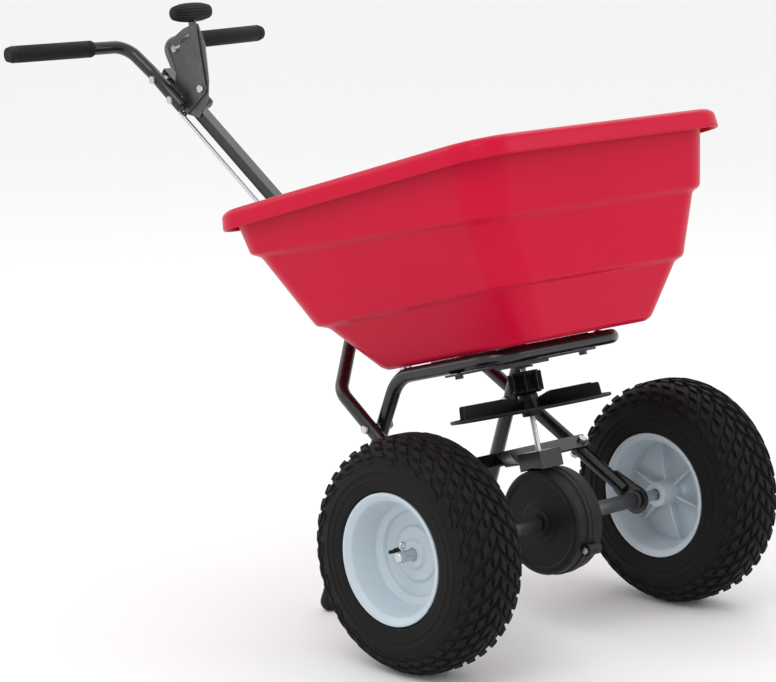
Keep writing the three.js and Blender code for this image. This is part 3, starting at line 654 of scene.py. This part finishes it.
# ---------------------------------------------------------------- placing pieces
class Bench:
    """Turns shapes and frame nodes into finished pieces that ride on the frame."""

    def __init__(self, frame: dict) -> None:
        """Makes the materials and finds the two drawing frames.
        """
        self.frame = frame
        effects = Effects()
        self.materials = {f.slot.value: f.make(effects) for f in FINISHES}
        self.slots = {s["node"]: s["material_slot"] for s in frame["record"]["subparts"]}
        low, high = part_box("axle")
        self.upright = Matrix.Translation((low + high) / 2) @ Matrix.Scale(MM, 4)
        self.level = (
            Matrix.Translation((low + high) / 2)
            @ Matrix.Rotation(-TILT, 4, "Y")
            @ Matrix.Scale(MM, 4))
        self.finished: set[str] = set()

    def soften(self, piece: bpy.types.Object, edge: float) -> None:
        """Bevels sharp edges, sets smooth shading and keeps the result.

        Args:
            piece: The piece.
            edge: The bevel's width in millimetres, or 0 for none.
        """
        mesh = piece.data
        mesh.shade_smooth()
        mesh.set_sharp_from_angle(angle=SMOOTH_BELOW)
        if edge <= 0:
            return
        bevel = piece.modifiers.new("edges", "BEVEL")
        bevel.width = edge * MM
        bevel.segments = 2
        bevel.limit_method = "ANGLE"
        bevel.angle_limit = SMOOTH_BELOW
        bevel.harden_normals = True
        bpy.context.view_layer.update()
        settled = piece.evaluated_get(bpy.context.evaluated_depsgraph_get())
        piece.data = bpy.data.meshes.new_from_object(settled)
        piece.modifiers.clear()

    def dress(self, piece: bpy.types.Object, body: str, slot: str, nodes: tuple[str, ...]) -> None:
        """Gives a piece its finish, its body and the nodes it stands for.

        Args:
            piece: The piece.
            body: The body it rides on.
            slot: The record's finish.
            nodes: The frame nodes it replaces.
        """
        piece.data.materials.clear()
        piece.data.materials.append(self.materials[slot])
        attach(piece, body)
        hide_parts(*nodes)
        self.finished.update(nodes)

    def build(self, name: str, shape: Shape, body: Body, slot: Slot, nodes: tuple[str, ...],
              upright: bool = False, edge: float = 0.0, dress: bool = True) -> bpy.types.Object:
        """Makes a piece from a shape.

        Args:
            name: The piece's name.
            shape: Its shape, in millimetres.
            body: The body it rides on.
            slot: Its finish.
            nodes: The frame nodes it replaces.
            upright: Whether it is drawn in the wheels' frame.
            edge: The width of its bevelled edges, in millimetres.
            dress: Whether to dress it now.

        Returns:
            The piece.
        """
        form = bmesh.new()
        made = [form.verts.new(p) for p in shape.points]
        for face in shape.faces:
            form.faces.new([made[i] for i in face])
        bmesh.ops.remove_doubles(form, verts=form.verts, dist=1e-4)
        bmesh.ops.recalc_face_normals(form, faces=form.faces)
        form.transform(self.upright if upright else self.level)
        mesh = bpy.data.meshes.new(name)
        form.to_mesh(mesh)
        form.free()
        piece = bpy.data.objects.new(name, mesh)
        bpy.context.scene.collection.objects.link(piece)
        if dress:
            self.soften(piece, edge)
            self.dress(piece, body.value, slot.value, nodes)
            LOG.info("built %s", name)
        return piece

    def cut(self, piece: bpy.types.Object, tools: list[Shape]) -> None:
        """Cuts shapes out of a piece.

        Args:
            piece: The piece to cut.
            tools: The shapes to take away, in the piece's drawing frame.
        """
        for tool in tools:
            cutter = self.build("cutter", tool, Body.CHASSIS, Slot.FRAME, (), dress=False)
            hole = piece.modifiers.new("hole", "BOOLEAN")
            hole.operation = "DIFFERENCE"
            hole.solver = "EXACT"
            hole.object = cutter
            bpy.context.view_layer.update()
            settled = piece.evaluated_get(bpy.context.evaluated_depsgraph_get())
            piece.data = bpy.data.meshes.new_from_object(settled)
            piece.modifiers.clear()
            bpy.data.objects.remove(cutter)

    def refine(self, node: str, edge: float = 0.45) -> None:
        """Makes a softer-edged piece from a frame node's own mesh.

        Args:
            node: The frame node.
            edge: The width of its bevelled edges, in millimetres.
        """
        source = self.frame["nodes"][node]
        form = bmesh.new()
        form.from_mesh(source.data)
        bmesh.ops.remove_doubles(form, verts=form.verts, dist=2e-6)
        bmesh.ops.dissolve_limit(
            form, angle_limit=math.radians(1), verts=form.verts, edges=form.edges)
        mesh = bpy.data.meshes.new(node + "_softened")
        form.to_mesh(mesh)
        form.free()
        piece = bpy.data.objects.new(node + "_softened", mesh)
        bpy.context.scene.collection.objects.link(piece)
        self.soften(piece, edge)
        self.dress(piece, source["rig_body"], self.slots[node], (node,))


# ---------------------------------------------------------------- hopper
@dataclass
class Hopper:
    """The stepped moulded hopper.

    Each level is z, half length, half width, centre x, corner radius and slope.
    """

    floor: float = 252.0
    corner_steps: int = 18
    outside: tuple = (
        (0, 151, 128, -4, 30, 0), (5, 159, 136, -4, 34, 0), (75, 200, 179, -15, 44, 0),
        (80.6, 212, 191, -18, 48, 0), (178, 246, 223, -38, 52, -0.055),
        (184.4, 256, 233, -40, 54, -0.055), (252, 268, 242, -36, 58, 0.02),
        (268, 268, 242, -35, 58, 0.02), (268, 281, 254, -34, 61, 0.02),
        (245, 283, 256, -34, 62, 0.02), (245, 287, 260, -34, 64, 0.02),
        (267, 285, 258, -34, 63, 0.02), (273, 278, 251, -34, 61, 0.02))
    inside: tuple = (
        (273, 266, 240, -34, 57, 0.02), (252, 263.5, 237.5, -36, 54, 0.02),
        (186, 251.5, 228.5, -40, 50, -0.055), (180, 241.5, 218.5, -38, 48, -0.055),
        (82, 207.5, 186.5, -18, 44, 0), (76, 195.5, 174.5, -15, 40, 0),
        (7, 154.5, 131.5, -4, 31, 0), (4, 148, 125, -4, 28, 0))

    def ring(self, level: tuple) -> list[Point]:
        """Draws one level.

        Args:
            level: The level's six sizes.

        Returns:
            Its points, anticlockwise from above.
        """
        z, a, b, middle, corner, slope = level
        points = []
        for quarter, (sx, sy) in enumerate(((1, 1), (-1, 1), (-1, -1), (1, -1))):
            for i in range(self.corner_steps + 1):
                t = (quarter + i / self.corner_steps) * math.pi / 2
                x = middle + sx * (a - corner) + corner * math.cos(t)
                y = sy * (b - corner) + corner * math.sin(t)
                points.append((x, y, self.floor + z + slope * x))
        return points

    def make(self, bench: Bench) -> None:
        """Builds and dresses the hopper.

        Args:
            bench: Where pieces are made.
        """
        levels = rounded(list(self.outside + self.inside), 4.5, 4)
        shell = skin([self.ring(level) for level in levels])
        piece = bench.build(
            "hopper_shell", shell, Body.CHASSIS, Slot.HOPPER, (), dress=False)
        low, high = self.floor - 12, self.floor + 18
        tools = [block((20, 16, low), (40, 56, high)), block((20, -56, low), (40, -16, high))]
        tools.append(turned_z([(11.3, low), (11.3, high), (0.0, high), (0.0, low)], 40))
        bench.cut(piece, tools)
        bench.soften(piece, 0.0)
        bench.dress(piece, Body.CHASSIS.value, Slot.HOPPER.value, ("hopper",))
        LOG.info("built hopper_shell")


# ---------------------------------------------------------------- wheels
@dataclass
class Wheel:
    """A pneumatic tyre with a knobbly tread on a dished pressed rim."""

    side: Side
    body: Body
    track: float = 268.0
    crown: float = 160.0
    lug_height: float = 4.7
    lugs: int = 38
    rows: tuple[float, ...] = (0.0, 13.5, 27.0, 40.5, 53.0)
    lug_width: float = 11.0
    lug_length: float = 17.0

    def outline(self) -> list[Pair]:
        """Draws the carcass's outer line, from the crown's middle to the bead."""
        corners = [
            (self.crown, 0.0), (self.crown - 0.4, 26.0), (147.0, 46.5), (126.0, 54.6),
            (104.0, 55.0), (94.0, 54.0), (92.6, 48.6), (85.6, 48.6)]
        return rounded(corners, 11.0, 7)

    def with_rings(self, line: list[Pair]) -> list[Pair]:
        """Raises the two fine rings of the sidewall.

        Args:
            line: The outer line.

        Returns:
            The same line with its rings.
        """
        ringed = [p for p in line if not (108.0 < p[0] < 124.0 and p[1] > 50.0)]
        at = next(i for i, p in enumerate(ringed) if p[0] <= 108.0)
        rings = [(122.5, 54.8), (121.8, 55.6), (120.2, 55.6), (119.5, 54.9),
                 (112.0, 55.0), (111.4, 55.7), (110.2, 55.7), (109.6, 55.0)]
        return ringed[:at] + rings + ringed[at:]

    def along(self, line: list[Pair], distance: float) -> tuple[Pair, Pair]:
        """Finds a place on the outer line.

        Args:
            line: The outer line, from the crown's middle.
            distance: How far along it, on the near side of the crown's middle if negative.

        Returns:
            The (radius, y) place there, and the outward direction.
        """
        sign = -1.0 if distance < 0 else 1.0
        left = abs(distance)
        for (r0, y0), (r1, y1) in zip(line, line[1:]):
            length = math.dist((r0, y0), (r1, y1))
            if length > 1e-6 and left <= length:
                t = left / length
                normal = ((y1 - y0) / length, -(r1 - r0) / length * sign)
                return (r0 + (r1 - r0) * t, (y0 + (y1 - y0) * t) * sign), normal
            left -= length
        raise ValueError("the tread is wider than the tyre")

    def lug(self, line: list[Pair], distance: float, angle: float, width: float,
            share: float) -> Shape:
        """Draws one tapered block of the tread.

        Args:
            line: The outer line.
            distance: Where its middle is across the tread.
            angle: Where its middle is round the tyre, in radians.
            width: Its width across the tread.
            share: Its height, as a share of a full block's.

        Returns:
            The block.
        """
        layers = []
        half = self.lug_length / 2 / self.crown
        lean = 0.035 * (1 if distance >= 0 else -1)
        tall = self.lug_height * share
        for height, size in ((-1.5, 1.0), (tall - 0.9, 0.86), (tall, 0.74)):
            layer = []
            for s, t in ((-1, -1), (-1, 0), (-1, 1), (1, 1), (1, 0), (1, -1)):
                notch = 0.82 if t == 0 else 1.0
                (r, y), (nr, ny) = self.along(line, distance + s * width / 2 * size * notch)
                radius = r + nr * height
                turn = angle + t * half * size + s * lean
                layer.append((
                    radius * math.sin(turn), y + ny * height, radius * math.cos(turn)))
            layers.append(layer)
        return skin(layers)

    def tyre(self) -> Shape:
        """Draws the tyre.

        Returns:
            The carcass and its tread, centred on the axle's middle.
        """
        line = self.outline()
        outer = self.with_rings(line)
        liner = [(150.0, 20.0), (138.0, 41.0), (116.0, 47.0), (98.0, 46.0), (85.6, 36.0)]
        section = [(r, -y) for r, y in outer[:0:-1]] + outer
        section += liner[::-1] + [(r, -y) for r, y in liner]
        shape = turned(section, 160)
        for index in range(self.lugs):
            for number, row in enumerate(self.rows):
                angle = 2 * math.pi * (index + 0.5 * (number % 2)) / self.lugs
                for distance in {row, -row}:
                    width, share = (self.lug_width, 1.0) if number < 4 else (8.5, 0.75)
                    shape.merge(self.lug(line, distance, angle, width, share))
                if number == 4 and index % 2 == 0:
                    for distance in (row + 9.0, -row - 9.0):
                        shape.merge(self.lug(line, distance, angle, 6.5, 0.35))
        return shape.moved(Matrix.Translation((0.0, self.side.value * self.track, 0.0)))

    def rim(self) -> Shape:
        """Draws the rim, with its hub and the ribs behind its dish.

        Returns:
            The rim, on its own side of the machine.
        """
        profile = [
            (92, 54), (92, 49.4), (85, 49), (76, 24), (76, -24), (85, -49), (92, -49.4),
            (92, -54), (88, -54), (81, -49), (72, -22), (72, -5), (24, -5), (18, -10),
            (18, -48), (8.2, -48), (8.2, 10), (18, 10), (22, 5), (37, 4), (40, 0.5),
            (57, 0.5), (60, 8), (69, 11), (73, 24), (80, 48), (88, 54)]
        shape = turned(rounded(profile, 2.2, 4, closed=True), 128)
        for i in range(6):
            rib = plate([(16, -20), (34, -20), (73, -13), (73, -4), (16, -4)], -1.6, 1.6)
            turn = Matrix.Rotation(math.pi * i / 3 + 0.26, 4, "Y")
            shape.merge(rib.moved(turn @ self.rib_frame()))
        flip = Matrix.Scale(float(self.side.value), 4, (0.0, 1.0, 0.0))
        shape.moved(flip)
        return shape.moved(Matrix.Translation((0.0, self.side.value * self.track, 0.0)))

    def rib_frame(self) -> Matrix:
        """Turns a plate drawn as (x, z) into one that runs out along X and in along Y."""
        return Matrix(((1, 0, 0, 0), (0, 0, 1, 0), (0, 1, 0, 0), (0, 0, 0, 1)))

    def make(self, bench: Bench) -> None:
        """Builds and dresses the wheel.

        Args:
            bench: Where pieces are made.
        """
        word = self.side.word
        bench.build("treaded_tyre_" + word, self.tyre(), self.body, Slot.TYRE,
                    ("tyre_" + word,), upright=True)
        bench.build("dished_rim_" + word, self.rim(), self.body, Slot.RIM,
                    ("rim_" + word,), upright=True)


# ---------------------------------------------------------------- frame and handle
@dataclass
class Frame:
    """The bent tube frame with its stand, side tubes and feet."""

    tube: float = 10.5
    side_tube: float = 10.0
    rail_y: float = 127.0
    rail_z: float = 240.0
    rail_front: float = 85.0
    rail_rear: float = -122.0
    foot_x: float = -335.0
    foot_y: float = 145.0
    foot_r: float = 14.0
    wheel_r: float = 165.0
    bracket_y: float = 178.0
    knee: Point = (-224.0, 147.0, 235.0)
    pole_foot: Pair = (-288.0, 350.0)
    pole_top: Pair = (-645.0, 775.0)
    bar_y: float = 26.0

    def foot_z(self) -> float:
        """The height of a leg's end, which puts its foot on the ground."""
        drop = self.foot_r - self.wheel_r - self.foot_x * math.sin(TILT)
        return drop / math.cos(TILT)

    def pole_direction(self) -> Vector:
        """The direction of the handle pole."""
        (x0, z0), (x1, z1) = self.pole_foot, self.pole_top
        return Vector((x1 - x0, 0.0, z1 - z0)).normalized()

    def loop(self) -> TubeRun:
        """The loop under the hopper and the two legs of the stand."""
        low = self.foot_z()
        corners = (
            (self.foot_x, self.foot_y, low), (self.rail_rear, self.rail_y, self.rail_z),
            (self.rail_front, self.rail_y, self.rail_z),
            (self.rail_front, -self.rail_y, self.rail_z),
            (self.rail_rear, -self.rail_y, self.rail_z), (self.foot_x, -self.foot_y, low))
        return TubeRun(corners, (50, 42, 42, 50), self.tube)

    def side_shape(self, side: Side) -> Shape:
        """Draws a side tube and its flattened eye.

        Args:
            side: Which side it is on.

        Returns:
            The shape.
        """
        kx, ky, kz = self.knee
        reach = math.hypot(kx, kz)
        ux, uz = kx / reach, kz / reach
        slope = (ky - self.bracket_y) / reach
        sign = side.value
        start = (22 * ux, sign * (self.bracket_y + 22 * slope), 22 * uz)
        rise = self.pole_direction() * 50
        foot = (self.pole_foot[0], sign * self.bar_y, self.pole_foot[1])
        top = tuple(Vector(foot) + rise)
        run = TubeRun((start, (kx, sign * ky, kz), foot, top), (45, 26), self.side_tube)
        low = sign * self.bracket_y - 3
        eye = plate(strap_outline((0, 0), (46 * ux, 46 * uz), 21, 13), low, low + 6)
        return run.shape().merge(eye)

    def foot_shape(self, side: Side) -> Shape:
        """Draws a rubber foot on a leg's end.

        Args:
            side: Which side it is on.

        Returns:
            The shape.
        """
        end = Vector((self.foot_x, side.value * self.foot_y, self.foot_z()))
        up = (Vector((self.rail_rear, side.value * self.rail_y, self.rail_z)) - end).normalized()
        line = [(0.0, -self.foot_r)]
        for i in range(1, 9):
            a = math.pi / 2 * i / 8
            line.append((self.foot_r * math.sin(a), -self.foot_r * math.cos(a)))
        line += [(14, 26), (13.2, 27), (13.2, 28.5), (14, 29.5), (13.4, 32), (10.9, 32), (0.0, 32)]
        return turned(line, 48).moved(aimed(up, end))

    def make(self, bench: Bench) -> None:
        """Builds and dresses the frame.

        Args:
            bench: Where pieces are made.
        """
        bench.build("frame_tube", self.loop().shape(), Body.CHASSIS, Slot.FRAME, ("frame_loop",))
        for side in Side:
            word = side.word
            bench.build("side_tube_run_" + word, self.side_shape(side), Body.CHASSIS, Slot.FRAME,
                        ("side_tube_" + word,), edge=0.6)
            bench.build("rubber_foot_" + word, self.foot_shape(side), Body.CHASSIS, Slot.RUBBER,
                        ("stand_foot_" + word,))


@dataclass
class Handle:
    """The two handlebar halves, their grips and the ribbed control knob."""

    frame: Frame
    tube: float = 10.0
    upper_z: float = 764.0
    lower_z: float = 726.0
    elbow: Pair = (-678.0, 826.0)
    end: Pair = (-698.0, 832.0)
    elbow_y: float = 42.0
    end_y: float = 255.0
    grip: float = 150.0
    knob: Point = (-545.0, -12.9, 850.0)
    knob_half: float = 38.0

    def on_pole(self, z: float, side: Side, further: float) -> Point:
        """Finds a place beside the pole.

        Args:
            z: The height of a bolt on the pole.
            side: Which side of the pole.
            further: How far along the pole from that bolt.

        Returns:
            The place.
        """
        direction = self.frame.pole_direction()
        x = self.frame.pole_foot[0] + (z - self.frame.pole_foot[1]) * direction.x / direction.z
        y = side.value * self.frame.bar_y
        return (x + further * direction.x, y, z + further * direction.z)

    def make(self, bench: Bench) -> None:
        """Builds and dresses the handle.

        Args:
            bench: Where pieces are made.
        """
        for side in Side:
            word, sign = side.word, side.value
            elbow = (self.elbow[0], sign * self.elbow_y, self.elbow[1])
            end = (self.end[0], sign * self.end_y, self.end[1])
            corners = (self.on_pole(self.lower_z, side, -20), self.on_pole(self.upper_z, side, 14),
                       elbow, end)
            run = TubeRun(corners, (40, 34), self.tube)
            bench.build("handlebar_run_" + word, run.shape(), Body.CHASSIS, Slot.FRAME,
                        ("handlebar_" + word,))
            along = (Vector(end) - Vector(elbow)).normalized()
            length = self.grip
            line = [(10.2, 0), (12, 0), (13.2, 3)]
            for z in (9, length - 12):
                line += [(13.2, z), (12.6, z + 1), (12.6, z + 3), (13.2, z + 4)]
            line += [(13.2, length - 5), (11, length + 3), (0, length + 3), (0, 0)]
            sleeve = turned(line, 56).moved(aimed(along, Vector(end) - along * length))
            bench.build("grip_sleeve_" + word, sleeve, Body.CHASSIS, Slot.RUBBER,
                        ("grip_" + word,))
        self.make_knob(bench)

    def make_knob(self, bench: Bench) -> None:
        """Builds the fluted barrel knob.

        Args:
            bench: Where pieces are made.
        """
        half = self.knob_half
        line = [(0.0, -half)]
        line += [(r, t * half) for t, r in (
            (-1, 7), (-0.93, 10.5), (-0.6, 13.6), (-0.3, 14.7), (0, 15), (0.3, 14.7), (0.6, 13.6),
            (0.93, 10.5), (1, 7))]
        line.append((0.0, half))
        barrel = turned(rounded(line, 2.5, 3), 144, flutes=18, depth=1.3)
        barrel.moved(Matrix.Translation(self.knob))
        bench.build("fluted_knob", barrel, Body.LEVER, Slot.PLASTIC, ("lever_knob",))


# ---------------------------------------------------------------- drive and spinner
@dataclass
class Drive:
    """The gearbox shells, the axle and its sleeves."""

    drum: float = 75.0
    half: float = 27.0
    ear: Pair = (66.0, -48.0)
    axle: float = 8.0
    axle_half: float = 308.0

    def shell(self, side: Side) -> Shape:
        """Draws one half of the gearbox.

        Args:
            side: Which half.

        Returns:
            The shape.
        """
        rim = self.drum
        profile = [
            (8.4, 0.15), (rim + 2.5, 0.15), (rim + 2.5, 8), (rim, 8.4), (rim, self.half - 4),
            (rim - 4, self.half), (rim - 11, self.half), (rim - 12.5, self.half - 1.2),
            (32, self.half - 1.2), (30, self.half), (19, self.half), (19, 31), (8.4, 31)]
        line = [(r, y * side.value) for r, y in rounded(profile, 1.5, 3, closed=True)]
        shape = turned(line, 128)
        x, z = self.ear
        for sign in (1, -1):
            shape.merge(disc(sign * x, z, 8, 0.15 * side.value, 12 * side.value))
        return shape

    def make(self, bench: Bench) -> None:
        """Builds and dresses the drive.

        Args:
            bench: Where pieces are made.
        """
        for side in Side:
            word, sign = side.word, side.value
            bench.build("gearbox_shell_" + word, self.shell(side), Body.CHASSIS, Slot.PLASTIC,
                        ("gearbox_half_" + word,))
            sleeve = [(8.15, 32), (11, 32), (11, 169), (8.15, 169)]
            line = [(r, y * sign) for r, y in rounded(sleeve, 0.6, 2, closed=True)]
            bench.build("sleeve_tube_" + word, turned(line, 56), Body.DRIVE, Slot.STEEL,
                        ("axle_sleeve_" + word,), upright=True)
        end = self.axle_half
        bar = [(0, -end), (self.axle - 2, -end), (self.axle, 2 - end), (self.axle, end - 2),
               (self.axle - 2, end), (0, end)]
        bench.build("axle_bar", turned(bar, 56), Body.DRIVE, Slot.ZINC, ("axle",), upright=True)


@dataclass
class Spinner:
    """The vaned impeller and its ribbed spool."""

    radius: float = 116.0
    height: float = 158.0
    shaft: float = 4.15

    def make(self, bench: Bench) -> None:
        """Builds and dresses the impeller and the spool.

        Args:
            bench: Where pieces are made.
        """
        r, z, bore = self.radius, self.height, self.shaft
        profile = [
            (bore, z - 8), (13, z - 8), (14, z), (r - 2, z), (r, z + 1), (r, z + 5),
            (r - 3, z + 5), (r - 4, z + 3), (16, z + 3), (13, z + 24), (bore, z + 24)]
        shape = turned_z(rounded(profile, 1.2, 3, closed=True), 128)
        for i in range(6):
            outline = [(12, z + 2), (r - 3, z + 2), (r - 5, z + 23), (38, z + 23), (12, z + 15)]
            vane = plate(rounded(outline, 3.0, 3, closed=True), 1.4, 4.6)
            shape.merge(vane.moved(Matrix.Rotation(math.pi * i / 3 + 0.3, 4, "Z")))
        bench.build("vaned_impeller", shape, Body.SPINNER, Slot.PLASTIC, ("impeller",), edge=0.4)
        low = z + 24.3
        waist = [
            (bore, low), (20, low), (22, low + 4), (13, low + 16), (20, low + 28),
            (20, low + 32), (bore, low + 32)]
        spool = turned_z(rounded(waist, 2.0, 4, closed=True), 64)
        for i in range(8):
            rib = block((8, -1.3, low + 2), (24, 1.3, low + 30))
            spool.merge(rib.moved(Matrix.Rotation(math.pi * i / 4, 4, "Z")))
        bench.build(
            "ribbed_spool", spool, Body.SPINNER, Slot.PLASTIC, ("impeller_spool",), edge=0.4)


# ---------------------------------------------------------------- studio
@dataclass
class Studio:
    """The pale floor, the soft lights and the camera."""

    camera_at: Point = (3.4249, -3.2924, 1.2783)
    looks_at: Point = (0.1943, -0.1508, 0.4187)
    lens: float = 151.2
    sensor: float = 36.0
    lights_aim: Point = (0.1, 0.0, 0.4)
    surroundings: float = 1.0
    floor_reach: float = 14.0
    floor_shade: float = 0.9
    lights: tuple = (
        ((1.2, -2.4, 3.2), 1.9, 30.0), ((-2.6, -1.4, 2.0), 1.6, 10.0),
        ((2.8, 1.8, 1.9), 1.4, 12.0), ((-1.2, 2.4, 2.8), 1.6, 9.0))

    def aim(self, piece: bpy.types.Object, target: Point) -> None:
        """Turns a light or the camera towards a point."""
        way = Vector(target) - piece.location
        piece.rotation_euler = way.to_track_quat("-Z", "Y").to_euler()

    def make_camera(self) -> None:
        """Makes the camera."""
        data = bpy.data.cameras.new("view")
        data.lens = self.lens
        data.sensor_width = self.sensor
        camera = bpy.data.objects.new("view", data)
        camera.location = self.camera_at
        bpy.context.scene.collection.objects.link(camera)
        self.aim(camera, self.looks_at)
        bpy.context.scene.camera = camera

    def make_lights(self) -> None:
        """Makes the soft lights and the pale surroundings."""
        for index, (place, size, power) in enumerate(self.lights):
            data = bpy.data.lights.new(f"softbox_{index}", "AREA")
            data.size = size
            data.energy = power
            light = bpy.data.objects.new(f"softbox_{index}", data)
            light.location = place
            bpy.context.scene.collection.objects.link(light)
            self.aim(light, self.lights_aim)
        world = bpy.data.worlds.new("pale")
        world.use_nodes = True
        background = world.node_tree.nodes["Background"]
        background.inputs["Color"].default_value = (1.0, 1.0, 1.0, 1.0)
        background.inputs["Strength"].default_value = self.surroundings
        bpy.context.scene.world = world
        bpy.context.scene.view_settings.view_transform = "Standard"

    def make_floor(self) -> None:
        """Makes the pale floor."""
        mesh = bpy.data.meshes.new("floor")
        reach = self.floor_reach
        corners = [(-reach, -reach, 0), (reach, -reach, 0), (reach, reach, 0), (-reach, reach, 0)]
        mesh.from_pydata(corners, [], [(0, 1, 2, 3)])
        floor = bpy.data.objects.new("floor", mesh)
        bpy.context.scene.collection.objects.link(floor)
        material = bpy.data.materials.new("pale_floor")
        material.use_nodes = True
        wiring = Wiring(material.node_tree)
        shader = material.node_tree.nodes["Principled BSDF"]
        shader.inputs["Base Color"].default_value = (*(self.floor_shade,) * 3, 1.0)
        shader.inputs["Specular IOR Level"].default_value = 0.2
        speckle = wiring.noise(60.0)
        wiring.join(wiring.spread(speckle.outputs[0], (0.3, 0.7), (0.7, 0.8)),
                    shader.inputs["Roughness"])
        mesh.materials.append(material)

    def make(self) -> None:
        """Makes the whole studio."""
        self.make_camera()
        self.make_lights()
        self.make_floor()


def main() -> None:
    """Builds every piece, in order."""
    logging.basicConfig(level=logging.INFO, format="%(name)s: %(message)s")
    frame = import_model()
    bench = Bench(frame)
    Studio().make()
    Hopper().make(bench)
    Wheel(Side.RIGHT, Body.DRIVE).make(bench)
    Wheel(Side.LEFT, Body.FREE).make(bench)
    chassis = Frame()
    chassis.make(bench)
    Handle(chassis).make(bench)
    Drive().make(bench)
    Spinner().make(bench)
    remaining = sorted(set(frame["nodes"]) - bench.finished)
    for node in remaining:
        bench.refine(node)
    LOG.info("softened %d smaller parts", len(remaining))


if __name__ == "__main__":
    main()
